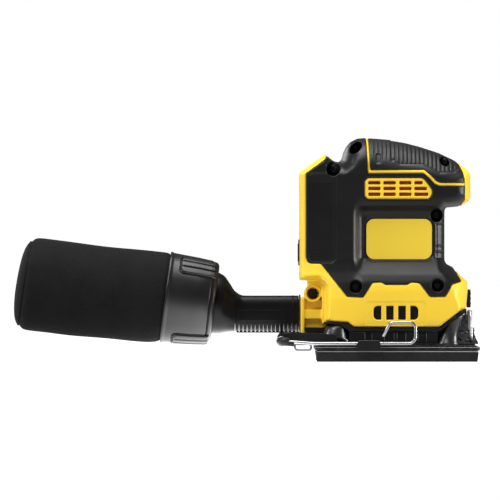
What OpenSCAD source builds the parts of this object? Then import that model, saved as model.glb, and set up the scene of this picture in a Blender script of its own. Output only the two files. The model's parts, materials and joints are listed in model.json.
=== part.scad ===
/* [Sanding pad] */
// Length of the pad, front to back
pad_l = 108; // [106:1:110]
// Width of the pad, side to side
pad_w = 114; // [112:1:115]
// Thickness of the foam
foam_t = 6.5; // [6:0.1:6.6]

/* [Housing] */
// Half width of the skirt over the pad
skirt_hw = 40; // [38:0.5:41]
// Half width of the neck behind the fingers
neck_hw = 27; // [26.5:0.5:29]
// Half width of the rear column and the grip
head_hw = 34; // [33:0.5:35]
// Thickness of the soft overmould
overmould_t = 1; // [0.8:0.1:1.2]

/* [Orbit] */
// Radius of the orbit; the pad moves in a circle of twice this
orbit_r = 0.8; // [0.6:0.1:0.8]
// Radius of the motor shaft and of its eccentric pin
shaft_r = 4; // [3.9:0.05:4]
// Radial running clearance of shaft and pin in their bearings
run_gap = 0.03; // [0.02:0.01:0.06]

/* [Clamps] */
// Diameter of the spring wire of the clamp levers
wire_d = 2.2; // [2:0.1:2.4]

/* [Dust bag] */
// Outer diameter of the bag
bag_d = 61.5; // [60:0.5:62]
// Length of the bag along its axis
bag_l = 97; // [94:1:98]
// Tilt of the bag and its collar above level
bag_tilt = 7.2; // [6.5:0.1:8]

/* [Hidden] */
$fn = 48;

wr = wire_d / 2;
mx = -orbit_r;               // motor axis; the pad's own axis is at 0
split = 200;
port_z = 31.8;               // height of the dust port
// side outline of the housing, x and z
outline = [[-63.9, 18.5], [-61.2, 18.5], [-61.2, 21.5], [-49, 21.5], [-49, 25.6], [-32.9, 25], [-28.7, 22.3],
  [28.9, 22.3], [46.7, 35.3], [47.9, 48.2], [47.4, 53.6], [42.9, 56.9], [37.6, 62.9], [32.7, 65], [32, 66.2],
  [32, 100.9], [31.5, 102.8], [41.8, 103.7], [44.8, 107.5], [45, 118.7], [44.1, 125.3], [40.8, 132.3], [38.5, 134.6],
  [28.1, 139.3], [15.1, 143.5], [5.7, 145.9], [-5.1, 147.7], [-21.4, 148.7], [-26.1, 148.7], [-30.8, 145.9],
  [-34.1, 142.1], [-36.9, 133.7], [-38, 132.6], [-45.6, 135.5], [-47.6, 137.9], [-65, 125.7], [-64.8, 54],
  [-59.1, 53.4], [-59.1, 49], [-61.2, 45.2], [-61.2, 42.9], [-63.9, 42.9]];
// where the soft skin covers the body
body_skin = [[-60.5, 67.9], [-60.5, 125.3], [-48.6, 133.7], [-45.6, 135.5], [-45.6, 152], [-20.3, 152], [-20.3, 125.2],
  [17.4, 125.7], [22, 121.6], [24.8, 118.2], [28, 116.9], [60, 116.9], [60, 60], [42.9, 53], [36.6, 51.2],
  [31.9, 43.2], [22.3, 42.9], [14.9, 52.4], [9.5, 52.9], [6.9, 51.2], [-7.9, 51.2], [-10.3, 52.9], [-16.3, 52.4],
  [-22.5, 42.6], [-33.2, 43.2], [-50.8, 65.2], [-56.8, 65.2]];
grip_skin = [[-18.9, 152], [-18.3, 127.2], [18, 127.7], [23, 123.4], [25.8, 120.2], [28.6, 118.8], [60, 118.8], [60, 152]];
vent_panel = [[-21.2, 108.2], [20.5, 108.2], [23.5, 113.6], [16.9, 122], [-21.2, 122]];
leg_at = [[-36, 33], [-36, -33], [33.5, 33], [33.5, -33]];
// screw towers: x, z, depth of the head below the side
towers = [[-42.4, 128, 30], [-27.1, 141.5, 20], [31.9, 132.5, 20], [26.5, 97.4, 24], [-27.4, 49.8, 36], [27, 50.6, 36], [-55.8, 45.2, 23]];
pivot_r = [-76.9, 13.6];     // rear clamp pivot, x and z
pivot_f = [49.4, 15];        // front clamp pivot
collar_x = -121;             // where the collar's axis starts
collar_z = 38.6;
dial_x = 39.3;
rock = [43.4, 121.3];        // rocker pivot

module side(poly, hw) rotate([90, 0, 0]) linear_extrude(height = 2 * hw, center = true) polygon(poly);
module across(x, z, r, y0, y1) translate([x, y0, z]) rotate([-90, 0, 0]) cylinder(r = r, h = y1 - y0);
module along(x0, x1, y, z, r) translate([x0, y, z]) rotate([0, 90, 0]) cylinder(r = r, h = x1 - x0);
module block(x0, x1, y0, y1, z0, z1) translate([x0, y0, z0]) cube([x1 - x0, y1 - y0, z1 - z0]);
module rod(a, b, r) {
  d = b - a; l = norm(d);
  translate(a) rotate([0, acos(d[2] / l), atan2(d[1], d[0])]) cylinder(r = r, h = l);
}
function mirrored(h) = concat(h, [for (i = [len(h) - 1 : -1 : 0]) [-h[i][0], h[i][1]]]);

// the housing's outer shape, grown sideways by g
module form(g) {
  s = skirt_hw + g; h = head_hw + g;
  difference() {
    intersection() {
      side(outline, 60);
      translate([-70, 0, 0]) rotate([90, 0, 90]) linear_extrude(height = 125)
        polygon(mirrored([[s, 10], [s, 50], [s - 3.5, 58], [h, 66], [h, 116], [h - 1.5, 127], [h - 6, 137], [h - 13, 143], [h - 22, 147.4], [h - 28, 149.4]]));
      linear_extrude(height = 160)
        polygon([[-70, -h], [-52, -h], [-46, -s], [33, -s], [42, -s + 6], [46, -s + 16], [50, -s + 20],
          [50, s - 20], [46, s - 16], [42, s - 6], [33, s], [-46, s], [-52, h], [-70, h]]);
    }
    for (m = [0, 1]) mirror([0, m, 0]) {
      block(-22, 60, neck_hw + g, 60, 66, 102.6);
      block(-80, -49, 20, 60, 0, 52.5);
      block(-61.2, -49, 10.6, 60, 0, 28);
      block(-61.2, -49, 10.6, 60, 34.5, 39);
    }
  }
  for (m = [0, 1]) mirror([0, m, 0]) across(-55.8, 45.2, 5.7, 0, 24);
}
module vent_slots(y0, y1) {
  for (r = [0 : 2]) for (c = [0 : 3]) block([-19.1, -9, 1.5, 11.5][c], c < 3 ? [-10.9, -0.7, 9.7][c] : [17.4, 20.2, 21.1][r], y0, y1, 118 - 3.8 * r, 119.8 - 3.8 * r);
  for (c = [0 : 3]) block([-15.1, -6.8, 1.2, 9.3][c], [-10, -1.9, 6.3, 14.6][c], y0, y1, 27.9, 36.9);
}
module hollows() {
  translate([mx, 0, 59]) cylinder(r = 22.2, h = 35);                       // motor room
  translate([mx, 0, 94]) cylinder(r = 9.55, h = 7.6);                      // upper bearing seat
  translate([mx, 0, 50.5]) cylinder(r = 11.05, h = 7);                     // lower bearing seat
  translate([mx, 0, 49]) cylinder(r = 8, h = 11);
  translate([mx, 0, 15]) cylinder(r = 31, h = 34);                         // fan room
  translate([mx, 0, 101]) cylinder(r = 5, h = 6);
  along(-82, -20, 0, port_z, 8.3);                                         // dust duct
  block(-57.5, -26.5, -29, 29, 62, 124);                                   // rear column
  block(-26.6, -24.6, -12, 12, 106, 122);
  side([[-28, 106.5], [-28, 133], [30, 133], [36, 129.5], [41, 122], [41, 106.5]], 25);   // grip
  side([[-28, 130], [-28, 138], [-20, 143.5], [-6, 143], [14, 138.8], [36, 129.5]], 14);
  side([[-20, 106.5], [-20, 124], [36, 124], [36, 106.5]], 31);
  block(-62.4, -59.6, -22, 22, 60, 150);                                   // battery slide
  block(-70, -62.3, -19, 19, 60, 150);
  for (p = leg_at) translate([p[0] + mx, p[1], 10]) cylinder(r = 6.6, h = 21.5);
  block(38, 50, -11, 11, 116, 126.6);                                      // rocker window
  block(29.5, 50, -10.6, 10.6, 107.9, 115.1);                              // dial window
  across(rock[0], rock[1], 1.02, -13, 13);                                 // rocker pin
  block(-60, -56, -16, 16, 62.6, 83);                                      // terminal block seat
}
module screw_holes() for (t = towers) {
  across(t[0], t[1], 4.1, -60, -t[2] + 8);
  across(t[0], t[1], 1.7, -60, 12);
}
module shell() difference() {
  union() {
    form(0);
    along(-80, -62, 0, port_z, 9.9);
    for (t = towers) if (t[1] > 100) across(t[0], t[1], 5, t[1] > 131 ? -13 : -24, t[1] > 131 ? 13 : 16);
  }
  hollows();
  vent_slots(-60, 60);
  screw_holes();
}
module housing_right() color([0.95, 0.78, 0.16]) difference() { shell(); block(-split, split, 0, split, -10, split); }
module housing_left() color([0.95, 0.78, 0.16]) difference() { shell(); block(-split, split, -split, 0, -10, split); }

module skin(region) difference() {
  intersection() { form(overmould_t); side(region, 60); }
  form(0);
  side(vent_panel, 60);
  screw_holes();
  side([[-60.1, 70], [-60.1, 120], [-43, 120], [-43, 70]], 60);
  block(-20.4, 23.6, -60, 0, 68.6, 95.1);
  block(-200, 200, -13, 13, 0, 200);
}
module body_overmould_right() color([0.15, 0.15, 0.16]) difference() { skin(body_skin); block(-split, split, 0, split, -10, split); }
module body_overmould_left() color([0.15, 0.15, 0.16]) difference() { skin(body_skin); block(-split, split, -split, 0, -10, split); }
module grip_overmould_right() color([0.2, 0.2, 0.21]) difference() { skin(grip_skin); block(-split, split, 0, split, -10, split); }
module grip_overmould_left() color([0.2, 0.2, 0.21]) difference() { skin(grip_skin); block(-split, split, -split, 0, -10, split); }

module front_cap() color([0.95, 0.78, 0.16]) difference() {
  intersection() {
    side([[39.2, 134.2], [48.8, 126.7], [49.5, 124.9], [49.5, 107.5], [43.2, 103.7], [41.9, 103.7], [45, 107.4], [45.2, 118.7], [44.3, 125.4], [41, 132.5]], 24);
    linear_extrude(height = 160) polygon([[30, -24], [44, -24], [49.5, -18], [49.5, 18], [44, 24], [30, 24]]);
  }
  block(38, 60, -10.6, 10.6, 116.4, 126.2);
  block(29.5, 60, -10.6, 10.6, 107.9, 115.1);
}
module rating_plate_blank() color([0.96, 0.83, 0.2]) intersection() {
  block(-20.2, 23.4, -neck_hw - 0.5, -neck_hw, 68.8, 94.9);
  side([[-20.2, 72.8], [-16.2, 68.8], [19.4, 68.8], [23.4, 72.8], [23.4, 90.9], [19.4, 94.9], [-16.2, 94.9], [-20.2, 90.9]], 60);
}
module pocket_cover() color([0.13, 0.13, 0.14]) for (s = [-1, 1])
  block(-59.8, -43.3, s > 0 ? head_hw : -head_hw - 1.1, s > 0 ? head_hw + 1.1 : -head_hw, 70.3, 119.7);
module housing_screws() color([0.2, 0.2, 0.21]) for (t = towers) {
  across(t[0], t[1], 3.4, -t[2] + 5.6, -t[2] + 8);
  across(t[0], t[1], 1.6, -t[2] + 7.9, 11);
}
module front_bumper() color([0.12, 0.12, 0.13]) side([[46.85, 35.6], [50, 35.6], [50, 48], [48, 48]], 9);
module dust_shroud() color([0.13, 0.13, 0.14]) difference() {
  union() {
    block(-32, 27.4, -36.5, 36.5, 11.5, 22.2);
    for (x = [-24 : 8 : 20]) for (s = [-1, 1]) block(x, x + 2, s > 0 ? 36.4 : -37.3, s > 0 ? 37.3 : -36.4, 11.5, 22.2);
  }
  translate([mx, 0, 10]) cylinder(r = 18.5, h = 4);
  translate([mx, 0, 13]) cylinder(r = 30.2, h = 12);
  for (p = leg_at) translate([p[0] + mx, p[1], 10]) cylinder(r = 6.6, h = 14);
}
module port_gasket() color([0.1, 0.1, 0.1]) difference() { along(-65, -63.9, 0, port_z, 12.6); along(-70, -60, 0, port_z, 10); }

module terminal_block() color([0.14, 0.14, 0.15]) block(-65.8, -56.1, -15.8, 15.8, 63.6, 81.6);
module battery_contacts() color([0.8, 0.68, 0.35]) for (i = [-2 : 2]) block(-64.4, -60.4, i * 6 - 0.4, i * 6 + 0.4, 81.6, 96);
module controller_module() color([0.25, 0.28, 0.25]) block(-52, -34, -24, 24, 66, 104);
module switch_body() color([0.12, 0.12, 0.13]) block(24, 37.8, -9, 9, 117, 127);
module speed_control_board() color([0.1, 0.35, 0.2]) block(8, 29, -12, 12, 110, 111.6);

module motor_stator() color([0.45, 0.46, 0.48]) translate([mx, 0, 61]) union() {
  difference() { cylinder(r = 22, h = 30); translate([0, 0, -1]) cylinder(r = 18.2, h = 32); }
  difference() {
    for (a = [0 : 60 : 300]) rotate([0, 0, a]) block(10, 19, -2.2, 2.2, 0, 30);
    translate([0, 0, -1]) cylinder(r = 12.6, h = 32);
  }
}
module stator_windings() color([0.72, 0.42, 0.2]) translate([mx, 0, 60]) for (a = [0 : 60 : 300]) rotate([0, 0, a]) difference() {
  block(13.6, 17.6, -4.2, 4.2, 0, 32);
  block(13, 18.2, -2.3, 2.3, 0.9, 31.1);
}
module ring(r0, r1, z0, z1) translate([0, 0, z0]) difference() { cylinder(r = r1, h = z1 - z0); translate([0, 0, -1]) cylinder(r = r0, h = z1 - z0 + 2); }
module upper_bearing() color([0.75, 0.75, 0.77]) translate([mx, 0, 0]) ring(3.5 + run_gap, 9.5, 95.2, 101.2);
module lower_bearing() color([0.75, 0.75, 0.77]) translate([mx, 0, 0]) ring(shaft_r + run_gap, 11, 50.5, 57.5);

module motor_shaft() color([0.6, 0.61, 0.63]) union() {
  translate([mx, 0, 24.8]) cylinder(r = shaft_r, h = 69.4);
  translate([mx, 0, 94]) cylinder(r = 3.5, h = 9);
  translate([0, 0, 15.5]) cylinder(r = shaft_r, h = 9.4);
  translate([mx, 0, 24.2]) cylinder(r = 6, h = 1.2);
}
module motor_rotor() color([0.35, 0.36, 0.38]) translate([mx, 0, 0]) ring(shaft_r, 12, 61.5, 90.5);
module cooling_fan() color([0.16, 0.16, 0.17]) translate([mx, 0, 0]) {
  ring(shaft_r, 8, 34, 47);
  ring(7.9, 28.5, 39.6, 41.2);
  for (a = [0 : 30 : 330]) rotate([0, 0, a]) { block(7.5, 28, -0.8, 0.8, 41, 47); block(7.5, 28, -0.8, 0.8, 34.4, 39.8); }
}
module counterweight() color([0.5, 0.48, 0.42]) translate([mx, 0, 0]) difference() {
  union() { ring(shaft_r, 8.5, 25.6, 33.6); intersection() { ring(shaft_r, 22, 25.6, 32.6); block(-30, 0, -30, 30, 20, 40); } }
  cylinder(r = shaft_r, h = 60);
}

module platen() color([0.12, 0.12, 0.13]) difference() {
  union() {
    block(-55, 55, -pad_w / 2, pad_w / 2, 7.3, 9.4);
    block(-53, 53, -pad_w / 2 + 2, pad_w / 2 - 2, 9.4, 10.9);
    cylinder(r = 15, h = 24);
  }
  translate([0, 0, 16]) cylinder(r = 11.02, h = 10);
  translate([0, 0, 14]) cylinder(r = 7, h = 10);
  translate([0, 0, -1]) cylinder(r = 20, h = 8.3);
  for (p = leg_at) translate([p[0], p[1], 0]) { cylinder(r = 2.1, h = 20); cylinder(r = 4.1, h = 9); }
}
module eccentric_bearing() color([0.75, 0.75, 0.77]) ring(shaft_r + run_gap, 11, 16, 23);
module platen_legs() color([0.3, 0.31, 0.33]) for (p = leg_at) translate([p[0], p[1], 0]) difference() {
  union() { ring(1.4, 5, 10.9, 30.3); ring(1.4, 5.6, 10.9, 14); }
  translate([0, 0, 20]) cylinder(r = 3, h = 2);
}
module platen_screws() color([0.5, 0.5, 0.52]) for (p = leg_at) translate([p[0], p[1], 0]) { translate([0, 0, 7.6]) cylinder(r = 3.9, h = 1.4); translate([0, 0, 8.9]) cylinder(r = 1.4, h = 9); }
module pad_backing() color([0.82, 0.82, 0.8]) block(-pad_l / 2 + 0.6, pad_l / 2 - 0.6, -pad_w / 2 + 0.6, pad_w / 2 - 0.6, foam_t, 7.2);
module foam_pad() color([0.14, 0.14, 0.15]) block(-pad_l / 2, pad_l / 2, -pad_w / 2, pad_w / 2, 0, foam_t);
module lever_clip() color([0.12, 0.12, 0.13]) {
  side_clip = [[-27.3, 7.5], [-11.2, 7.5], [-11.2, 10.5], [-12.3, 14], [-25.5, 14], [-27.3, 10.5]];
  difference() {
    translate([0, -pad_w / 2 - 2.6, 0]) side(side_clip, 2.6);
    block(-40, 0, -pad_w / 2 - 3.9, -pad_w / 2 + 1, 9.4, 20);
  }
}
// rear clamp: two arms carry the lever's cross wire
module rear_clamp_bracket() color([0.13, 0.13, 0.14]) difference() {
  union() {
    block(-52, -42, -50, 50, 10.9, 12.3);
    for (s = [-1, 1]) {
      translate([0, s * 47, 0]) side([[-77.5, 10.9], [-68, 10.9], [-56, 10.9], [-40, 10.9], [-40, 17.2], [-70, 17.8], [-77.5, 16.4]], 1.5);
      across(pivot_r[0], pivot_r[1], 2.8, s * 47 - 1.5, s * 47 + 1.5);
    }
  }
  across(pivot_r[0], pivot_r[1], wr + 0.06, -60, 60);
}
module rear_clamp_spring() color([0.8, 0.8, 0.82]) {
  rod([-66.9, -51, 11.9], [-66.9, -51, 7.3], 0.6);
  rod([-66.9, -51.02, 8], [-57.9, -51.02, 8], 0.55);
  rod([-57.9, -51, 11.9], [-57.9, -51, 7.3], 0.6);
  for (x = [-66.9, -57.9]) rod([x + 0.02, -51, 11.2], [x + 0.02, -48.52, 11.2], 0.55);
}
lever_y = -pad_w / 2 - 2.5;
wt = wr - 0.06; // thinner rods end inside thicker ones at each bend
module rear_clamp_lever() color([0.85, 0.85, 0.87]) {
  rod([pivot_r[0], 52, pivot_r[1]], [pivot_r[0], lever_y - wr, pivot_r[1]], wr);
  rod([pivot_r[0], lever_y, pivot_r[1]], [11.4, lever_y, 12.1], wt);
  rod([10.3, lever_y + 0.02, 10.9], [13.4, lever_y + 0.02, 15.4], wr);
  rod([12.8, lever_y, 14.5], [12.8, lever_y, 22.8], wt);
  rod([13.4, lever_y + 0.02, 21.8], [9.9, lever_y + 0.02, 25.9], wr);
  rod([10.7, lever_y, 25], [-2.8, lever_y, 25], wt);
  rod([-2.3, lever_y + 0.02, 25.8], [-8.6, lever_y + 0.02, 16.4], wr);
}
module rear_clamp_jaw() color([0.16, 0.16, 0.17]) for (s = [-1, 1]) difference() {
  translate([0, s * 35, 0]) union() {
    side([[-75.2, 13.3], [-60, 13.3], [-57.2, 11.2], [-53.6, 11.2], [-53.6, 12.6], [-56.6, 12.6], [-59.4, 14.8], [-75.2, 14.8]], 8);
    across(pivot_r[0], pivot_r[1], 2.5, -8, -4);
    across(pivot_r[0], pivot_r[1], 2.5, 4, 8);
  }
  across(pivot_r[0], pivot_r[1], wr, -60, 60);
}
module rear_clamp_sleeve() color([0.08, 0.08, 0.08]) difference() {
  union() { across(pivot_r[0], pivot_r[1], 2.8, -56, -49); across(pivot_r[0], pivot_r[1], 2.8, -26.5, 26.5); }
  across(pivot_r[0], pivot_r[1], wr, -60, 60);
}
module front_clamp_bracket() color([0.13, 0.13, 0.14]) difference() {
  union() {
    block(41, 52, -32, 32, 10.9, 12);
    for (s = [-1, 1]) translate([0, s * 30.5, 0]) side([[39.4, 11.2], [52.4, 11.2], [52.4, 17], [50, 19], [44, 24], [41, 24], [39.4, 17]], 1.5);
  }
  across(pivot_f[0], pivot_f[1], wr + 0.06, -60, 60);
}
module front_clamp_spring() color([0.7, 0.7, 0.72]) for (s = [-1, 1]) difference() {
  across(pivot_f[0], pivot_f[1], 2.7, s > 0 ? 17 : -27, s > 0 ? 27 : -17);
  across(pivot_f[0], pivot_f[1], wr + 0.3, -60, 60);
}
module front_clamp_bail() color([0.85, 0.85, 0.87]) {
  across(pivot_f[0], pivot_f[1], wr, -36.5, 36.5);
  for (s = [-1, 1]) rod([pivot_f[0], s * 35.4, pivot_f[1] - wr], [49.2, s * 30, 33.5], wr);
  across(49.2, 33, wr, -31, 31);
}
module front_clamp_jaw() color([0.16, 0.16, 0.17]) for (s = [-1, 1]) difference() {
  union() {
    side([[49.4, 16.2], [52.2, 16.2], [54.6, 12.9], [54.9, 11.3], [53.4, 11.3], [51.4, 14.4], [49.4, 14.4]], 15);
    across(pivot_f[0], pivot_f[1], 2.4, -15, 15);
  }
  across(pivot_f[0], pivot_f[1], wr + 0.06, -60, 60);
}

module rocker_key() color([0.1, 0.1, 0.1]) difference() {
  union() {
    side([[38.6, 118.2], [46.4, 117.2], [49.2, 117.6], [48.2, 121.3], [49, 125.2], [46.4, 125.5], [38.6, 124.4]], 10);
    across(rock[0], rock[1], 3, -10, 10);
  }
  across(rock[0], rock[1], 1 + run_gap, -20, 20);
}
module rocker_pin() color([0.7, 0.7, 0.72]) across(rock[0], rock[1], 1, -12.8, 12.8);
module speed_dial() color([0.12, 0.12, 0.13]) difference() {
  translate([dial_x, 0, 108.4]) cylinder(r = 9, h = 6.2);
  for (a = [0 : 20 : 340]) translate([dial_x + 9.2 * cos(a), 9.2 * sin(a), 100]) cylinder(r = 0.6, h = 20);
}

module dust_adaptor() color([0.12, 0.12, 0.13]) difference() {
  union() {
    along(-117, -65.1, 0, port_z, 12);
    tilted() translate([0, 0, -15]) cylinder(r1 = 8.5, r2 = 19.8, h = 16);
    tilted() translate([0, 0, -1.2]) cylinder(r = 20.5, h = 4.8);
    tilted() translate([0, 0, 3]) cylinder(r = 18, h = 14);
  }
  along(-119, -60, 0, port_z, 10);
  tilted() translate([0, 0, -12.5]) cylinder(r1 = 8.3, r2 = 16.2, h = 14);
  tilted() translate([0, 0, 1.4]) cylinder(r = 16.2, h = 18);
}
module tilted() translate([collar_x, 0, collar_z]) rotate([0, -90 + bag_tilt, 0]) children();
module bag_collar() color([0.22, 0.22, 0.23]) tilted() difference() {
  union() {
    translate([0, 0, 0.2]) cylinder(r1 = 25.4, r2 = 28, h = 3.4);
    translate([0, 0, 3.5]) cylinder(r1 = 28, r2 = 30.4, h = 30);
    intersection() { cylinder(r = 31.4, h = 40); for (a = [-41.5, 78.5, 198.5]) rotate([0, 0, a]) block(25, 33, -7.8, 7.8, 2, 25.6); }
  }
  translate([0, 0, -3]) cylinder(r = 21, h = 7);
  translate([0, 0, 3.6]) cylinder(r1 = 25, r2 = 28.4, h = 31);
  for (a = [-41.5, 78.5, 198.5], s = [-1, 1]) rotate([0, 0, a]) block(30.7, 33, s * 2.6 - 0.5, s * 2.6 + 0.5, 3.4, 26);
}
module bag_mouth_ring() color([0.15, 0.15, 0.16]) tilted() translate([0, 0, 33.6]) difference() { cylinder(r = 30.2, h = 3); translate([0, 0, -1]) cylinder(r = 27, h = 5); }
module dust_bag() color([0.11, 0.11, 0.12]) tilted() translate([0, 0, 36.7]) difference() {
  rotate_extrude() polygon([[0, 0], [bag_d / 2, 0], [bag_d / 2, bag_l - 4], [bag_d / 2 - 4, bag_l], [0, bag_l]]);
  rotate_extrude() polygon([[0, -1], [bag_d / 2 - 1.2, -1], [bag_d / 2 - 1.2, bag_l - 4.5], [bag_d / 2 - 5.2, bag_l - 1.4], [0, bag_l - 1.4]]);
}
module bag_end_ring() color([0.15, 0.15, 0.16]) tilted() translate([0, 0, 36.7 + bag_l - 8]) difference() { cylinder(r = bag_d / 2 - 1.3, h = 3); translate([0, 0, -1]) cylinder(r = 26.5, h = 5); }

housing_right();
housing_left();
body_overmould_right();
body_overmould_left();
grip_overmould_right();
grip_overmould_left();
front_cap();
rating_plate_blank();
pocket_cover();
housing_screws();
front_bumper();
dust_shroud();
port_gasket();
terminal_block();
battery_contacts();
controller_module();
switch_body();
speed_control_board();
motor_stator();
stator_windings();
upper_bearing();
lower_bearing();
motor_shaft();
motor_rotor();
cooling_fan();
counterweight();
platen();
eccentric_bearing();
platen_legs();
platen_screws();
pad_backing();
foam_pad();
lever_clip();
rear_clamp_bracket();
rear_clamp_spring();
front_clamp_bracket();
front_clamp_spring();
rear_clamp_lever();
rear_clamp_jaw();
rear_clamp_sleeve();
front_clamp_bail();
front_clamp_jaw();
rocker_pin();
rocker_key();
speed_dial();
dust_adaptor();
bag_collar();
bag_mouth_ring();
dust_bag();
bag_end_ring();
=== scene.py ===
import json
import math

import bmesh
import bpy
import numpy as np
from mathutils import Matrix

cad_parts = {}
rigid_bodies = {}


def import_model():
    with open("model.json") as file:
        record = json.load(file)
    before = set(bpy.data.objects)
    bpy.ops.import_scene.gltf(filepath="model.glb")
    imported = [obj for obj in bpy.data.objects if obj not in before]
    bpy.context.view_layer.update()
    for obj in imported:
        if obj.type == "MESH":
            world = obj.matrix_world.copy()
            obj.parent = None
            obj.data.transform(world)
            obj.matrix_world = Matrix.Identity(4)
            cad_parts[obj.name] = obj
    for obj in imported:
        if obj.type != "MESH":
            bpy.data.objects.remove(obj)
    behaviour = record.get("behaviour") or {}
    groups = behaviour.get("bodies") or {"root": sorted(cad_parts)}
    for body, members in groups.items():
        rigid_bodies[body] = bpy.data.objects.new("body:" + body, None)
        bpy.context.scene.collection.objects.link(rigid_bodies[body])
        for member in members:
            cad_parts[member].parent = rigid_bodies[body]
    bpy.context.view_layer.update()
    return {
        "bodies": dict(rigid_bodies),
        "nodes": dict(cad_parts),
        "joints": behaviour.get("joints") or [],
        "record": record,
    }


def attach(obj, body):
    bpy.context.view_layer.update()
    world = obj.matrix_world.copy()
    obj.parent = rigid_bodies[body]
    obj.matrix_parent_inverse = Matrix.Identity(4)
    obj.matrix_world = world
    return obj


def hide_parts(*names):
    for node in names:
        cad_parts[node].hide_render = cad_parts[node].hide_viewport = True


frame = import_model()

import openvdb
from mathutils import Matrix, Vector

MM = 0.001
SCENE = bpy.context.scene
NODES = frame["nodes"]

# ---------------------------------------------------------------- node helpers


class Mat:
    """A Principled material, and short ways to build what drives it."""

    def __init__(self, name, color, rough=0.5, metallic=0.0, spec=0.5, coat=0.0, coat_rough=0.1, sheen=0.0, sheen_rough=0.5):
        self.m = bpy.data.materials.new(name)
        self.m.use_nodes = True
        self.t = self.m.node_tree
        self.b = self.t.nodes["Principled BSDF"]
        self.b.inputs["Base Color"].default_value = (*color, 1)
        self.b.inputs["Roughness"].default_value = rough
        self.b.inputs["Metallic"].default_value = metallic
        self.b.inputs["Specular IOR Level"].default_value = spec
        self.b.inputs["Coat Weight"].default_value = coat
        self.b.inputs["Coat Roughness"].default_value = coat_rough
        self.b.inputs["Sheen Weight"].default_value = sheen
        self.b.inputs["Sheen Roughness"].default_value = sheen_rough
        self.m.diffuse_color = (*color, 1)
        self.coord = self.t.nodes.new("ShaderNodeTexCoord").outputs["Object"]

    def node(self, kind, **sockets):
        n = self.t.nodes.new("ShaderNode" + kind)
        for k, v in sockets.items():
            if k in ("operation", "blend_type", "data_type", "feature", "wave_type", "bands_direction", "wave_profile", "noise_dimensions", "noise_type", "distance", "rings_direction"):
                setattr(n, k, v)
        for k, v in sockets.items():
            if k.startswith("i_"):
                key = k[2:].replace("_", " ")
                sock = n.inputs[int(key)] if key.isdigit() else n.inputs[key]
                if hasattr(v, "is_output"):
                    self.t.links.new(v, sock)
                else:
                    sock.default_value = v
        return n

    def scaled(self, s, rot=(0, 0, 0)):
        n = self.node("Mapping", i_Vector=self.coord)
        n.inputs["Scale"].default_value = s if hasattr(s, "__len__") else (s, s, s)
        n.inputs["Rotation"].default_value = rot
        return n.outputs["Vector"]

    def noise(self, scale, detail=3.0, rough=0.55, vec=None):
        return self.node("TexNoise", i_Vector=vec or self.coord, i_Scale=scale, i_Detail=detail, i_Roughness=rough).outputs["Fac"]

    def math(self, op, a, b=None, c=None):
        n = self.t.nodes.new("ShaderNodeMath")
        n.operation = op
        for i, v in enumerate((a, b, c)):
            if v is None:
                continue
            if hasattr(v, "is_output"):
                self.t.links.new(v, n.inputs[i])
            else:
                n.inputs[i].default_value = v
        return n.outputs[0]

    def ramp(self, fac, stops):
        n = self.t.nodes.new("ShaderNodeValToRGB")
        e = n.color_ramp.elements
        while len(e) < len(stops):
            e.new(0.5)
        for el, (pos, col) in zip(e, stops):
            el.position = pos
            el.color = (*col, 1) if len(col) == 3 else col
        self.t.links.new(fac, n.inputs["Fac"])
        return n.outputs["Color"]

    def range(self, fac, a, b, lo, hi):
        n = self.t.nodes.new("ShaderNodeMapRange")
        self.t.links.new(fac, n.inputs["Value"])
        for k, v in (("From Min", a), ("From Max", b), ("To Min", lo), ("To Max", hi)):
            n.inputs[k].default_value = v
        return n.outputs["Result"]

    def color(self, out):
        self.t.links.new(out, self.b.inputs["Base Color"])
        return self

    def rough(self, out):
        self.t.links.new(out, self.b.inputs["Roughness"])
        return self

    def bump(self, height, strength, dist, under=None):
        n = self.t.nodes.new("ShaderNodeBump")
        n.inputs["Strength"].default_value = strength
        n.inputs["Distance"].default_value = dist
        self.t.links.new(height, n.inputs["Height"])
        if under is not None:
            self.t.links.new(under, n.inputs["Normal"])
        self.t.links.new(n.outputs["Normal"], self.b.inputs["Normal"])
        return n.outputs["Normal"]


def moulded(name, color, rough, grain=900.0, bump=0.12, vary=0.06, spec=0.34, coat=0.0, edge=None, sheen=0.0):
    """Moulded plastic or rubber: spark-eroded grain, slow colour drift, worn lighter edges."""
    m = Mat(name, color, rough, spec=spec, coat=coat, sheen=sheen)
    slow = m.noise(28.0, 4.0)
    dark = tuple(c * (1 - vary) for c in color)
    light = tuple(min(1.0, c * (1 + vary)) for c in color)
    col = m.ramp(slow, [(0.3, dark), (0.7, light)])
    if edge:
        geo = m.t.nodes.new("ShaderNodeNewGeometry")
        worn = m.math("MULTIPLY", m.range(geo.outputs["Pointiness"], 0.53, 0.62, 0.0, 1.0), m.range(m.noise(160.0, 5.0), 0.4, 0.65, 0.2, 1.0))
        mix = m.node("Mix", data_type="RGBA")
        m.t.links.new(worn, mix.inputs["Factor"])
        m.t.links.new(col, mix.inputs["A"])
        mix.inputs["B"].default_value = (*edge, 1)
        col = mix.outputs["Result"]
    m.color(col)
    m.rough(m.range(m.noise(65.0, 3.0), 0.25, 0.75, rough - 0.05, rough + 0.06))
    m.bump(m.noise(grain * 2.2, 2.0, 0.6), bump, 0.00012)
    return m.m


# ---------------------------------------------------------------- materials

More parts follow.
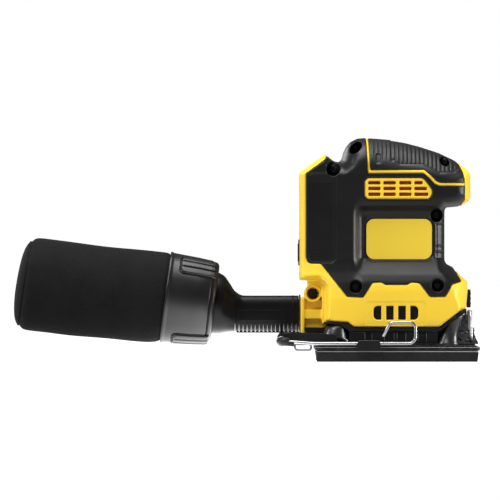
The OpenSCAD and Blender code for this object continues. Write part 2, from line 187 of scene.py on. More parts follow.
YELLOW = (0.93, 0.62, 0.035)
M = {}
M["yellow"] = moulded("yellow_shell", YELLOW, 0.42, grain=700, bump=0.10, vary=0.025, spec=0.4)
M["overmould"] = moulded("black_overmould", (0.0068, 0.0068, 0.0074), 0.37, grain=620, bump=0.22, vary=0.10, spec=0.28, edge=(0.04, 0.04, 0.042))
M["grip"] = moulded("grip_overmould", (0.0056, 0.0056, 0.0061), 0.46, grain=520, bump=0.26, vary=0.10, spec=0.32, edge=(0.045, 0.045, 0.047))
M["black"] = moulded("black_plastic", (0.0052, 0.0052, 0.0057), 0.38, grain=800, bump=0.14, vary=0.10, spec=0.24)
M["rubber"] = moulded("soft_rubber", (0.0060, 0.0060, 0.0064), 0.50, grain=500, bump=0.3, vary=0.12, spec=0.25)
# the adaptor's plastic again with twice its colour and a high specular level; the lighter colour is painted highlight
M["ribs"] = moulded("adaptor_ribs", (0.010, 0.010, 0.0104), 0.24, grain=700, bump=0.06, vary=0.10, spec=0.9)
M["adaptor"] = moulded("adaptor_black", (0.0048, 0.0048, 0.0052), 0.32, grain=700, bump=0.12, vary=0.10, spec=0.10)
M["collar"] = moulded("collar_grey", (0.0072, 0.0072, 0.0076), 0.34, grain=600, bump=0.18, vary=0.08)
M["platen"] = moulded("platen_black", (0.0034, 0.0034, 0.0037), 0.32, grain=420, bump=0.25, vary=0.12, spec=0.1, edge=(0.09, 0.09, 0.095))
M["clamp"] = moulded("clamp_black", (0.0090, 0.0090, 0.0095), 0.30, grain=520, bump=0.2, vary=0.12, edge=(0.10, 0.10, 0.105))
M["backing"] = moulded("pale_backing", (0.30, 0.30, 0.295), 0.55, grain=500, bump=0.2, vary=0.05)
# darker orange than the shell: painted shade for the insides of the upper vent slots
M["baffle"] = moulded("shade_painted_vent_baffle", (0.72, 0.27, 0.012), 0.6, grain=300, bump=0.1, vary=0.1)
M["label"] = moulded("yellow_label", (0.86, 0.61, 0.048), 0.42, grain=260, bump=0.02, vary=0.008, spec=0.3)


def metal(name, color, rough, brush=None, spots=0.0):
    m = Mat(name, color, rough, metallic=1.0)
    n = m.noise(1.0, 3.0, 0.6, m.scaled(brush or (300, 300, 300)))
    m.rough(m.range(n, 0.3, 0.7, rough * 0.8, rough * 1.35))
    m.color(m.ramp(m.noise(40.0, 3.0), [(0.3, tuple(c * 0.88 for c in color)), (0.7, color)]))
    m.bump(n, 0.12, 0.00008)
    return m.m


M["wire"] = metal("spring_wire", (0.40, 0.40, 0.415), 0.24, (90, 900, 900))
M["steel"] = metal("bright_steel", (0.72, 0.73, 0.75), 0.22)
M["dim_wire"] = metal("dim_wire", (0.20, 0.20, 0.21), 0.30, (90, 900, 900))
M["dark_steel"] = moulded("dark_steel", (0.010, 0.010, 0.011), 0.30, grain=300, bump=0.1, vary=0.1, edge=(0.03, 0.03, 0.03))
M["lamination"] = metal("laminated_steel", (0.36, 0.37, 0.39), 0.35, (20, 20, 3000))
M["copper"] = metal("copper", (0.72, 0.34, 0.16), 0.3, (60, 60, 1500))
M["brass"] = metal("contact_brass", (0.80, 0.64, 0.36), 0.24)


def foam():
    m = Mat("pad_foam", (0.011, 0.011, 0.012), 0.78, spec=0.3, sheen=0.0)
    v = m.node("TexVoronoi", i_Vector=m.coord, i_Scale=1500.0, feature="F1")
    big = m.node("TexVoronoi", i_Vector=m.coord, i_Scale=520.0, feature="F1")
    cell = m.math("MULTIPLY", v.outputs["Distance"], big.outputs["Distance"])
    m.color(m.ramp(v.outputs["Distance"], [(0.0, (0.004, 0.004, 0.0043)), (0.6, (0.010, 0.010, 0.0105))]))
    m.rough(m.range(m.noise(120.0), 0.3, 0.7, 0.7, 0.88))
    m.bump(cell, 0.6, 0.0003)
    return m.m


M["foam"] = foam()
M["potting"] = moulded("potting", (0.035, 0.04, 0.036), 0.25, grain=300, bump=0.1, vary=0.1)
M["board"] = moulded("board_green", (0.02, 0.12, 0.05), 0.35, grain=300, bump=0.1, vary=0.1)

M["post"] = moulded("post_rubber", (0.0140, 0.0140, 0.0150), 0.30, grain=300, bump=0.06, vary=0.08, spec=0.65)
M["gloss"] = moulded("gloss_black", (0.0070, 0.0070, 0.0076), 0.13, grain=260, bump=0.10, vary=0.12, spec=0.9, edge=(0.08, 0.08, 0.085))
# lighter grey strips on edges: rubbed wear and painted highlight
M["edge"] = moulded("rubbed_and_highlit_edge", (0.075, 0.075, 0.078), 0.40, grain=500, bump=0.10, vary=0.25, spec=0.4)
# light grey line for the platen's rim: painted highlight
M["bright_edge"] = moulded("painted_highlight_edge", (0.20, 0.20, 0.205), 0.36, grain=500, bump=0.10, vary=0.25, spec=0.5)
M["bail"] = metal("zinc_wire", (0.62, 0.62, 0.63), 0.36, (90, 900, 900))
# near-black, for painted groove shade on the collar
M["shadow"] = moulded("painted_groove_shade", (0.0030, 0.0030, 0.0032), 0.55, grain=500, bump=0.1, vary=0.1, spec=0.12)
M["thread"] = moulded("thread", (0.030, 0.030, 0.031), 0.75, grain=900, bump=0.3, vary=0.1)


def cloth_material():
    """Close woven filter cloth: two diagonal sets of fine yarns, with a soft nap."""
    m = Mat("bag_fabric", (0.0075, 0.0075, 0.008), 0.9, spec=0.08, sheen=0.02, sheen_rough=0.5)
    uv = m.t.nodes.new("ShaderNodeTexCoord").outputs["UV"]
    sep = m.node("SeparateXYZ", i_Vector=uv)
    u, v = sep.outputs["X"], sep.outputs["Y"]
    k = 2 * math.pi / 0.0135
    wob = m.math("MULTIPLY", m.noise(6.0, 2.0, 0.5, uv), 0.03)
    a = m.math("SINE", m.math("MULTIPLY", m.math("ADD", m.math("ADD", u, v), wob), k))
    c = m.math("SINE", m.math("MULTIPLY", m.math("SUBTRACT", m.math("SUBTRACT", u, v), wob), k))
    weave = m.math("MAXIMUM", a, c)
    fine = m.noise(900.0, 2.0, 0.6, uv)
    h = m.math("ADD", m.math("MULTIPLY", weave, 0.6), m.math("MULTIPLY", fine, 0.5))
    shade = m.range(weave, -1.0, 1.0, 0.0, 1.0)
    m.color(m.ramp(m.math("MULTIPLY", shade, m.range(m.noise(7.0, 4.0, 0.6, uv), 0.3, 0.7, 0.75, 1.1)), [(0.0, (0.0016, 0.0016, 0.0017)), (1.0, (0.0120, 0.0120, 0.0124))]))
    m.rough(m.range(fine, 0.3, 0.7, 0.8, 0.93))
    m.bump(h, 0.55, 0.00022)
    return m.m


M["cloth"] = cloth_material()

# ---------------------------------------------------------------- fields


def poly_field(poly, X, Z, weights=None):
    """Signed distance to a closed outline, positive inside. With weights, one number
    per side of the outline, also a field that follows the nearest sides' numbers."""
    P = np.asarray(poly, np.float32)
    Q = np.roll(P, -1, 0)
    best = np.full(X.shape, 1e9, np.float32)
    inside = np.zeros(X.shape, bool)
    sums = None if weights is None else [np.zeros(X.shape, np.float64) for _ in range(1 + len(weights[0]))]
    for i, ((ax, az), (bx, bz)) in enumerate(zip(P, Q)):
        dx, dz = bx - ax, bz - az
        l2 = dx * dx + dz * dz
        t = np.clip(((X - ax) * dx + (Z - az) * dz) / l2, 0, 1)
        d = np.hypot(X - ax - t * dx, Z - az - t * dz)
        best = np.minimum(best, d)
        if az != bz:
            cross = (az > Z) != (bz > Z)
            inside ^= cross & (X < (bx - ax) * (Z - az) / (bz - az) + ax)
        if sums is not None:
            w = math.sqrt(l2) / (d.astype(np.float64) + 0.8) ** 4
            sums[0] += w
            for k, v in enumerate(weights[i]):
                sums[k + 1] += w * v
    d = np.where(inside, best, -best)
    if sums is None:
        return d
    return [d] + [(s / sums[0]).astype(np.float32) for s in sums[1:]]


def blur(A, sigma, h):
    """Gaussian blur of a 2D array, sigma in mm."""
    r = max(1, int(3 * sigma / h))
    k = np.exp(-0.5 * (np.arange(-r, r + 1) * h / sigma) ** 2)
    k /= k.sum()
    for ax in (0, 1):
        P = np.pad(A, [(r, r) if i == ax else (0, 0) for i in (0, 1)], mode="edge")
        A = sum(w * np.take(P, np.arange(i, i + A.shape[ax]), ax) for i, w in enumerate(k))
    return A.astype(np.float32)


def step(a, b, x):
    t = np.clip((x - a) / (b - a), 0, 1)
    return t * t * (3 - 2 * t)


def smax(a, b, k):
    h = np.clip(0.5 + 0.5 * (a - b) / k, 0, 1)
    return b + (a - b) * h + k * h * (1 - h)


def smin(a, b, k):
    return -smax(-a, -b, k)


def box2(X, Z, x0, x1, z0, z1, r=0.0):
    """Signed distance to a rounded rectangle, negative inside."""
    qx = np.abs(X - (x0 + x1) / 2) - (x1 - x0) / 2 + r
    qz = np.abs(Z - (z0 + z1) / 2) - (z1 - z0) / 2 + r
    return np.minimum(np.maximum(qx, qz), 0) + np.hypot(np.maximum(qx, 0), np.maximum(qz, 0)) - r


def trilinear(F, p):
    n = np.array(F.shape) - 2
    q = np.clip(p, 0, n + 0.999)
    i = np.minimum(q.astype(np.int32), n)
    f = (q - i).astype(np.float32)
    out = 0
    for dx in (0, 1):
        wx = f[:, 0] if dx else 1 - f[:, 0]
        for dy in (0, 1):
            wy = f[:, 1] if dy else 1 - f[:, 1]
            for dz in (0, 1):
                wz = f[:, 2] if dz else 1 - f[:, 2]
                out = out + F[i[:, 0] + dx, i[:, 1] + dy, i[:, 2] + dz] * wx * wy * wz
    return out


def gradient(F, p, e=0.5):
    g = np.stack([trilinear(F, p + d) - trilinear(F, p - d) for d in np.eye(3) * e], 1)
    n = np.linalg.norm(g, axis=1, keepdims=True)
    return g / np.maximum(n, 1e-9), n[:, 0] / (2 * e)


def raw_mesh(name, pts, quads, tris, normals=None):
    me = bpy.data.meshes.new(name)
    nq, nt = len(quads), len(tris)
    me.vertices.add(len(pts))
    me.vertices.foreach_set("co", np.ascontiguousarray(pts, np.float32).ravel())
    me.loops.add(nq * 4 + nt * 3)
    me.polygons.add(nq + nt)
    me.loops.foreach_set("vertex_index", np.concatenate([quads.ravel(), tris.ravel()]).astype(np.int32))
    starts = np.concatenate([np.arange(nq) * 4, nq * 4 + np.arange(nt) * 3]).astype(np.int32)
    me.polygons.foreach_set("loop_start", starts)
    me.update(calc_edges=True)
    me.validate()
    me.shade_smooth()
    if normals is not None and len(me.vertices) == len(pts):
        me.normals_split_custom_set_from_vertices(normals.astype(np.float32))
    return me


def put(name, me, mats, body, replaces=()):
    o = bpy.data.objects.new(name, me)
    SCENE.collection.objects.link(o)
    for m in mats if isinstance(mats, (list, tuple)) else [mats]:
        o.data.materials.append(m)
    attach(o, body)
    if replaces:
        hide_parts(*replaces)
    return o


def volume_mesh(name, F, lo, h, flip_y=False, steps=2, keep=None):
    """The surface where F, sampled every h mm from the corner lo, is 0, as a mesh in metres."""
    F = np.ascontiguousarray(np.clip(F, -2.5 * h, 2.5 * h), np.float32)
    for ax in range(3):
        for side in (0, -1):
            s = [slice(None)] * 3
            s[ax] = side
            F[tuple(s)] = np.maximum(F[tuple(s)], 0.6 * h)
    g = openvdb.FloatGrid(background=2.5 * h)
    g.copyFromArray(F)
    pts, tris, quads = g.convertToPolygons(isovalue=0.0, adaptivity=0.0)
    pts = pts.astype(np.float32)
    for _ in range(steps):
        n, size = gradient(F, pts)
        move = np.clip(trilinear(F, pts) / np.maximum(size, 0.25 * h), -0.35, 0.35)
        pts -= n * move[:, None]
    n, _ = gradient(F, pts, 0.6)
    face = quads if len(quads) else tris
    a, b, c = pts[face[:, 0]], pts[face[:, 1]], pts[face[:, 2]]
    if np.einsum("ij,ij->i", np.cross(b - a, c - a), n[face[:, 0]]).mean() < 0:
        quads, tris = quads[:, ::-1], tris[:, ::-1]
    pts = (pts * h + np.asarray(lo, np.float32)) * MM
    if flip_y:
        pts[:, 1] *= -1
        n[:, 1] *= -1
        quads, tris = quads[:, ::-1], tris[:, ::-1]
    return raw_mesh(name, pts, np.ascontiguousarray(quads), np.ascontiguousarray(tris), n)

# ---------------------------------------------------------------- solid shapes


def rounded(points, radius, n=5):
    """An open path with its inner corners turned into arcs; radius is one number or one per corner."""
    P = [Vector(p) for p in points]
    out = [P[0]]
    for i in range(1, len(P) - 1):
        r = radius[i - 1] if hasattr(radius, "__len__") else radius
        a, b, c = P[i - 1], P[i], P[i + 1]
        u, v = (a - b).normalized(), (c - b).normalized()
        ang = u.angle(v)
        if ang > 3.1 or r <= 0:
            out.append(b)
            continue
        t = min(r / math.tan(ang / 2), (a - b).length * 0.49, (c - b).length * 0.49)
        r = t * math.tan(ang / 2)
        centre = b + (u + v).normalized() * (r / math.sin(ang / 2))
        p, q = b + u * t - centre, b + v * t - centre
        turn = p.angle(q)
        for k in range(n + 1):
            s = k / n
            out.append(centre + (p * math.sin((1 - s) * turn) + q * math.sin(s * turn)) / math.sin(turn))
    out.append(P[-1])
    return out


class Build:
    """Collects shapes, in millimetres, into one piece."""

    def __init__(self):
        self.v, self.f, self.m = [], [], []
        self.place = Matrix()
        self.mat = 0

    def add(self, verts, faces, flip=False):
        k = len(self.v)
        M4 = self.place
        self.v += [M4 @ Vector(p) for p in verts]
        neg = M4.determinant() < 0
        for f in faces:
            f = [i + k for i in f]
            self.f.append(f[::-1] if neg != flip else f)
            self.m.append(self.mat)
        return self

    def bm(self, bm):
        bm.verts.index_update()
        self.add([v.co.copy() for v in bm.verts], [[v.index for v in f.verts] for f in bm.faces])
        bm.free()
        return self

    def prism(self, poly, a, b, axis="y", r=0.4, seg=2, skip=None):
        """A flat outline drawn out from a to b; the outline is (x,z), (x,y) or (y,z)."""
        put3 = {"y": lambda p, t: (p[0], t, p[1]), "z": lambda p, t: (p[0], p[1], t), "x": lambda p, t: (t, p[0], p[1])}[axis]
        bm = bmesh.new()
        lo = [bm.verts.new(put3(p, a)) for p in poly]
        hi = [bm.verts.new(put3(p, b)) for p in poly]
        n = len(poly)
        bm.faces.new(lo)
        bm.faces.new(hi[::-1])
        for i in range(n):
            j = (i + 1) % n
            bm.faces.new((lo[j], lo[i], hi[i], hi[j]))
        bmesh.ops.recalc_face_normals(bm, faces=bm.faces)
        if r > 0:
            bm.normal_update()
            edges = [e for e in bm.edges if e.calc_face_angle(0) > math.radians(22)]
            bmesh.ops.bevel(bm, geom=edges, offset=r, segments=seg, profile=0.5, affect="EDGES", clamp_overlap=True)
        return self.bm(bm)

    def box(self, x0, x1, y0, y1, z0, z1, r=0.4, seg=2):
        return self.prism([(x0, z0), (x1, z0), (x1, z1), (x0, z1)], y0, y1, "y", r, seg)

    def rings(self, rings, cap=(True, True), closed=False):
        """Skins a run of rings, all with the same number of points."""
        n = len(rings[0])
        verts = [p for r in rings for p in r]
        faces = []
        k = len(rings)
        for i in range(k if closed else k - 1):
            a, b = i * n, ((i + 1) % k) * n
            for j in range(n):
                q = (j + 1) % n
                faces.append((a + j, a + q, b + q, b + j))
        if not closed:
            if cap[0]:
                faces.append(tuple(range(n))[::-1])
            if cap[1]:
                faces.append(tuple(range((k - 1) * n, k * n)))
        return self.add(verts, faces)

    def lathe(self, profile, n=48, start=0.0, axis=None):
        """Turns a (radius, height) profile round the local z axis; closes it on itself unless it starts and ends at radius 0."""
        on_axis = profile[0][0] < 1e-6 and profile[-1][0] < 1e-6
        pts = profile[1:-1] if on_axis else profile
        ring = [(math.cos(start + 2 * math.pi * j / n), math.sin(start + 2 * math.pi * j / n)) for j in range(n)]
        rings = [[(r * c, r * s, z) for c, s in ring] for r, z in pts]
        keep = self.place
        if axis is not None:
            self.place = keep @ axis
        if on_axis:
            k = len(rings)
            verts = [p for r in rings for p in r] + [(0, 0, profile[0][1]), (0, 0, profile[-1][1])]
            faces = [(i * n + j, i * n + (j + 1) % n, (i + 1) * n + (j + 1) % n, (i + 1) * n + j) for i in range(k - 1) for j in range(n)]
            faces += [(k * n, (j + 1) % n, j) for j in range(n)]
            faces += [(k * n + 1, (k - 1) * n + j, (k - 1) * n + (j + 1) % n) for j in range(n)]
            self.add(verts, faces)
        else:
            self.rings(rings, closed=True)
        self.place = keep
        return self

    def cyl(self, a, b, r, bevel=0.3, n=32):
        """A round bar from a to b with softened ends."""
        a, b = Vector(a), Vector(b)
        h = (b - a).length
        c = min(bevel, r * 0.9, h * 0.45)
        arc = [(r - c + c * math.sin(t), c - c * math.cos(t)) for t in (0, 0.52, 1.05, math.pi / 2)]
        prof = [(0, 0)] + arc + [(x, h - z) for x, z in arc[::-1]] + [(0, h)]
        m = (b - a).to_track_quat("Z", "Y").to_matrix().to_4x4()
        m.translation = a
        return self.lathe(prof, n, axis=m)

    def tube(self, path, r, n=14, ends=True):
        """A wire of radius r along a path of points."""
        P = [Vector(p) for p in path]
        clean = [P[0]]
        for p in P[1:]:
            if (p - clean[-1]).length > 1e-4:
                clean.append(p)
        P = clean
        T = []
        for i in range(len(P)):
            a, b = P[max(i - 1, 0)], P[min(i + 1, len(P) - 1)]
            T.append((b - a).normalized())
        up = T[0].orthogonal().normalized()
        rings = []
        frames = []
        for i, t in enumerate(T):
            up = (up - t * up.dot(t)).normalized()
            frames.append((P[i], t, up))
        rad = r if hasattr(r, "__len__") else [r] * len(P)
        if ends:
            p, t, u = frames[0]
            for s, q in ((0.02, 0.0), (0.6, 0.12), (0.88, 0.35)):
                rings.append((p + t * (q - 0.45) * rad[0], t, u, rad[0] * s))
        for (p, t, u), rr in zip(frames, rad):
            rings.append((p, t, u, rr))
        if ends:
            p, t, u = frames[-1]
            for s, q in ((0.88, 0.35), (0.6, 0.12), (0.02, 0.0)):
                rings.append((p - t * (q - 0.45) * rad[-1], t, u, rad[-1] * s))
        out = []
        for p, t, u, rr in rings:
            w = t.cross(u)
            out.append([p + (u * math.cos(2 * math.pi * j / n) + w * math.sin(2 * math.pi * j / n)) * rr for j in range(n)])
        return self.rings(out)

    def mirrored(self):
        """Adds a copy of everything so far on the other side of the middle plane."""
        n = len(self.v)
        self.v += [Vector((p.x, -p.y, p.z)) for p in self.v[:n]]
        fs = list(self.f)
        self.f += [[i + n for i in f][::-1] for f in fs]
        self.m += list(self.m)
        return self

    def done(self, name, mats, body, replaces=(), slot=None, sharp=35, weighted=True):
        me = bpy.data.meshes.new(name)
        me.from_pydata([v * MM for v in self.v], [], self.f)
        me.validate()
        bm = bmesh.new()
        bm.from_mesh(me)
        bmesh.ops.recalc_face_normals(bm, faces=bm.faces)
        bm.to_mesh(me)
        bm.free()
        o = put(name, me, mats, body, replaces)
        if len(me.polygons) == len(self.m):
            me.polygons.foreach_set("material_index", self.m)
        me.shade_smooth()
        me.set_sharp_from_angle(angle=math.radians(sharp))
        if weighted:
            w = o.modifiers.new("even", "WEIGHTED_NORMAL")
            w.keep_sharp = True
        return o


def frame_at(origin, z, x=None):
    """A placing whose z axis runs along z, and whose x axis leans towards x."""
    z = Vector(z).normalized()
    x = Vector(x) if x is not None else z.orthogonal()
    x = (x - z * x.dot(z)).normalized()
    y = z.cross(x)
    m = Matrix((x, y, z)).transposed().to_4x4()
    m.translation = Vector(origin)
    return m


def round_rect(x0, x1, z0, z1, r, n=6):
    pts = []
    for cx, cz, a in ((x1 - r, z0 + r, -90), (x1 - r, z1 - r, 0), (x0 + r, z1 - r, 90), (x0 + r, z0 + r, 180)):
        for k in range(n + 1):
            t = math.radians(a + 90 * k / n)
            pts.append((cx + r * math.cos(t), cz + r * math.sin(t)))
    return pts

# ---------------------------------------------------------------- housing

H = 0.5
GX = np.arange(-82.0, 52.01, H, dtype=np.float32)
GY = (np.arange(-3, int(42.5 / H) + 1) * H).astype(np.float32)
GZ = np.arange(16.0, 151.51, H, dtype=np.float32)
X2, Z2 = np.meshgrid(GX, GZ, indexing="ij")
LO = (GX[0], GY[0], GZ[0])

# side outline: x, z, and the rounding radius and power of the side that starts there
OUTLINE = [
    (-49.0, 25.6, 6, 2.4), (-49.0, 50.0, 5, 2.6), (-52.0, 53.6, 5, 3.0), (-64.8, 54.0, 4, 3.6), (-65.0, 126.2, 5, 2.8),
    (-48.2, 138.3, 6, 2.4), (-46.6, 137.6, 7, 2.4), (-44.8, 135.5, 8, 2.3), (-41.8, 133.3, 9, 2.2), (-38.2, 132.5, 10, 2.2), (-36.4, 134.6, 13, 2.2), (-35.2, 139.0, 15, 2.2),
    (-33.4, 142.8, 17, 2.2), (-30.8, 145.9, 18, 2.2), (-26.1, 148.4, 20, 2.2), (-21.4, 148.8, 23, 2.2), (-14.0, 148.4, 25, 2.2), (-5.1, 147.7, 25, 2.2),
    (5.7, 145.9, 25, 2.2), (15.1, 143.5, 24, 2.2), (28.1, 139.3, 21, 2.2), (38.5, 134.4, 17, 2.3), (48.3, 127.0, 14, 2.6),
    (49.5, 124.9, 13, 3.0), (49.5, 107.9, 11, 2.6), (43.2, 103.7, 6, 2.3), (33.2, 102.8, 8, 2.2), (32.0, 100.6, 6, 2.8),
    (32.0, 67.5, 8, 2.4), (33.2, 64.8, 14, 2.2), (37.6, 62.6, 14, 2.2), (42.9, 57.2, 15, 2.4), (47.2, 53.4, 16, 2.5), (47.9, 48.2, 17, 2.6),
    (46.7, 35.6, 2.4, 2.4), (28.9, 22.3, 1.4, 2.4), (-28.7, 22.3, 1.4, 2.4), (-32.9, 25.2, 2, 2.4),
]
# where the soft skin covers the body, and the island of skin on the grip
BODY_SKIN = [(-60.4, 69.0), (-60.4, 125.0), (-48.2, 134.0), (-46.0, 136.5), (-45.6, 160), (-20.6, 160), (-20.2, 147.7), (-19.0, 125.2), (17.6, 125.4), (22.2, 121.4), (25.0, 118.2),
             (28.0, 116.9), (46, 116.9), (44.9, 107.5), (41.8, 103.6), (40, 95), (60, 80), (60, 63), (37.9, 62.9), (43.2, 53.3), (36.9, 51.2),
             (32.2, 43.2), (22.0, 42.9), (14.9, 52.2), (9.5, 52.8), (6.9, 51.1), (-7.9, 51.1), (-10.3, 52.8), (-16.3, 52.3),
             (-22.5, 42.6), (-33.2, 43.1), (-50.6, 65.2), (-57.2, 65.2), (-59.4, 66.3)]
GRIP_SKIN = [(-19.3, 160), (-18.9, 147.7), (-17.7, 127.4), (18.3, 127.6), (23.4, 123.2), (26.0, 120.3), (28.7, 118.9), (45.2, 118.9), (44.3, 125.3), (41.0, 132.3), (39.2, 134.4), (44, 160)]
CAP = [(39.4, 134.6), (41.2, 132.4), (44.5, 125.4), (45.4, 118.7), (45.2, 107.4), (42.0, 103.5), (43, 95), (60, 95), (60, 150), (45, 150)]
VENTS = [(-21.2, 110.2), (-19.2, 108.2), (20.4, 108.2), (22.0, 108.9), (23.0, 110.6), (23.5, 112.8), (23.0, 114.6), (18.4, 120.9), (16.6, 122.0), (-19.2, 122.0), (-21.2, 120.0)]
# screw recesses: x, z, radii, tilt, distance of the floor from the middle plane
RECESSES = [(-42.4, 128.0, 4.7, 4.7, 0, 18.0), (-27.3, 142.2, 5.0, 2.95, 44, 8.0), (31.9, 133.1, 3.7, 2.7, -42, 9.0),
            (26.5, 97.4, 4.0, 4.5, 0, 13.0), (-27.4, 49.8, 4.3, 4.3, 0, 27.5), (27.0, 50.6, 4.3, 4.3, 0, 27.5), (-55.8, 45.2, 4.1, 4.1, 0, 14.0)]
WALL = 2.4
SKIN = 1.25


def side_fields():
    d, R, P = poly_field([q[:2] for q in OUTLINE], X2, Z2, [q[2:] for q in OUTLINE])
    d = blur(d, 0.55, H)
    R, P = blur(R, 1.5, H), blur(P, 1.5, H)
    front = np.interp(Z2, [16, 22, 26, 48, 53, 58, 63, 66.4, 68.4, 74, 97, 100.5, 104, 109, 128, 151],
                      [38.6, 39.4, 40, 40, 39.2, 36.6, 32.2, 29.2, 27.1, 26.9, 27, 28.6, 32.6, 34, 34, 34])
    rear = np.interp(Z2, [16, 24, 42, 52, 60, 66, 151], [38.6, 40, 39.6, 38, 35.6, 34.4, 34.4])
    t = step(-29.4, -22.8, X2)
    W = rear * (1 - t) + front * t
    W = W - 3.0 * step(20, 50, X2) * step(100, 108, Z2)
    return d, R, P, blur(W.astype(np.float32), 1.1, H)


D2, R2, P2, W2 = side_fields()


def outer():
    y = np.abs(GY)[None, :, None]
    a = y / W2[:, None, :]
    b = np.clip(1 - D2 / R2, 0, 3)[:, None, :]
    p = P2[:, None, :]
    m = np.maximum((a**p + b**p) ** (1 / p), 1e-3)
    gy = (a / m) ** (p - 1) / W2[:, None, :]
    gd = (b / m) ** (p - 1) / R2[:, None, :]
    f = ((m - 1) / np.sqrt(gy * gy + gd * gd + 1e-8)).astype(np.float32)
    # the front of the neck is cut back at an angle
    x, y, z = GX[:, None, None], np.abs(GY)[None, :, None], GZ[None, None, :]
    away = 1 - step(66.0, 69.0, z) * step(99.0, 96.5, z)
    return smax(f, (0.656 * x + 0.755 * y - 37.0 - 45 * away).astype(np.float32), 1.2)


E = outer()
X3, Y3, Z3 = GX[:, None, None], GY[None, :, None], GZ[None, None, :]
BODY_IN = blur(poly_field(BODY_SKIN, X2, Z2), 0.4, H)
GRIP_IN = blur(poly_field(GRIP_SKIN, X2, Z2), 0.4, H)
CAP_IN = poly_field(CAP, X2, Z2)
VENT_IN = blur(poly_field(VENTS, X2, Z2), 0.4, H)
SKIN_IN = np.maximum(np.minimum(BODY_IN, -VENT_IN), GRIP_IN)


class Block:
    """Part of the grid, for shapes that touch only part of it."""

    def __init__(self, x0, x1, y0, y1, z0, z1, pad=3.0):
        cut = lambda g, a, b: slice(max(0, int((a - pad - g[0]) / H)), min(len(g), int((b + pad - g[0]) / H) + 2))
        self.s = (cut(GX, x0, x1), cut(GY, y0, y1), cut(GZ, z0, z1))
        self.X, self.Y, self.Z = GX[self.s[0]][:, None, None], GY[self.s[1]][None, :, None], GZ[self.s[2]][None, None, :]
        self.E = E[self.s]

    def slab(self, x0, x1, y0, y1, z0, z1, r=0.0):
        qx = np.abs(self.X - (x0 + x1) / 2) - (x1 - x0) / 2 + r
        qy = np.abs(self.Y - (y0 + y1) / 2) - (y1 - y0) / 2 + r
        qz = np.abs(self.Z - (z0 + z1) / 2) - (z1 - z0) / 2 + r
        return np.minimum(np.maximum(np.maximum(qx, qy), qz), 0) + np.sqrt(np.maximum(qx, 0) ** 2 + np.maximum(qy, 0) ** 2 + np.maximum(qz, 0) ** 2) - r

    def cyl_y(self, x, z, r):
        return np.hypot(self.X - x, self.Z - z) - r + 0 * self.Y

    def cyl_x(self, y, z, r):
        return np.hypot(self.Y - y, self.Z - z) - r + 0 * self.X

    def ellipse(self, x, z, ra, rb, tilt):
        c, s = math.cos(math.radians(tilt)), math.sin(math.radians(tilt))
        u, v = (self.X - x) * c + (self.Z - z) * s, -(self.X - x) * s + (self.Z - z) * c
        return (np.hypot(u / ra, v / rb) - 1) * min(ra, rb) + 0 * self.Y


def each_recess(grow=0.0, lower=0.0):
    for k, (x, z, ra, rb, tilt, deep) in enumerate(RECESSES):
        b = Block(x - ra - 2, x + ra + 2, deep - 14, 42, z - ra - 2, z + ra + 2)
        yield k, b, np.maximum(b.ellipse(x, z, ra + grow, rb + grow, tilt), deep - lower - b.Y)


def slot_field():
    """The two sets of vent slots, negative in the slots, seen from the side."""
    f = np.full(X2.shape, 99.0, np.float32)
    for r in range(3):
        for c in range(4):
            x0 = (-19.0, -8.9, 1.6, 11.6)[c]
            x1 = (-10.9, -0.7, 9.7)[c] if c < 3 else (17.2, 20.0, 20.9)[r]
            f = np.minimum(f, box2(X2, Z2, x0, x1, 117.7 - 3.82 * r, 120.0 - 3.82 * r, 0.45))
    ends = box2(X2, Z2, -15.6, 14.2, 27.8, 37.0, 2.9)
    for x0, x1 in ((-20, -10.4), (-7.2, -2.2), (0.8, 5.9), (8.8, 20)):
        f = np.minimum(f, np.maximum(ends, box2(X2, Z2, x0, x1, 20, 45, 0.6)))
    return f


SLOTS = slot_field()
WELL = step(0.7, -0.7, box2(X2, Z2, -21.6, 24.8, 66.8, 96.3, 5.8))
SEAM = 0.22 * np.exp(-((Y3 / 0.45) ** 2))


def sunk(F, depth2, y0=20.0):
    """Pushes the side surface in by a depth drawn on the side view."""
    return F + depth2[:, None, :] * step(y0, y0 + 6, Y3)


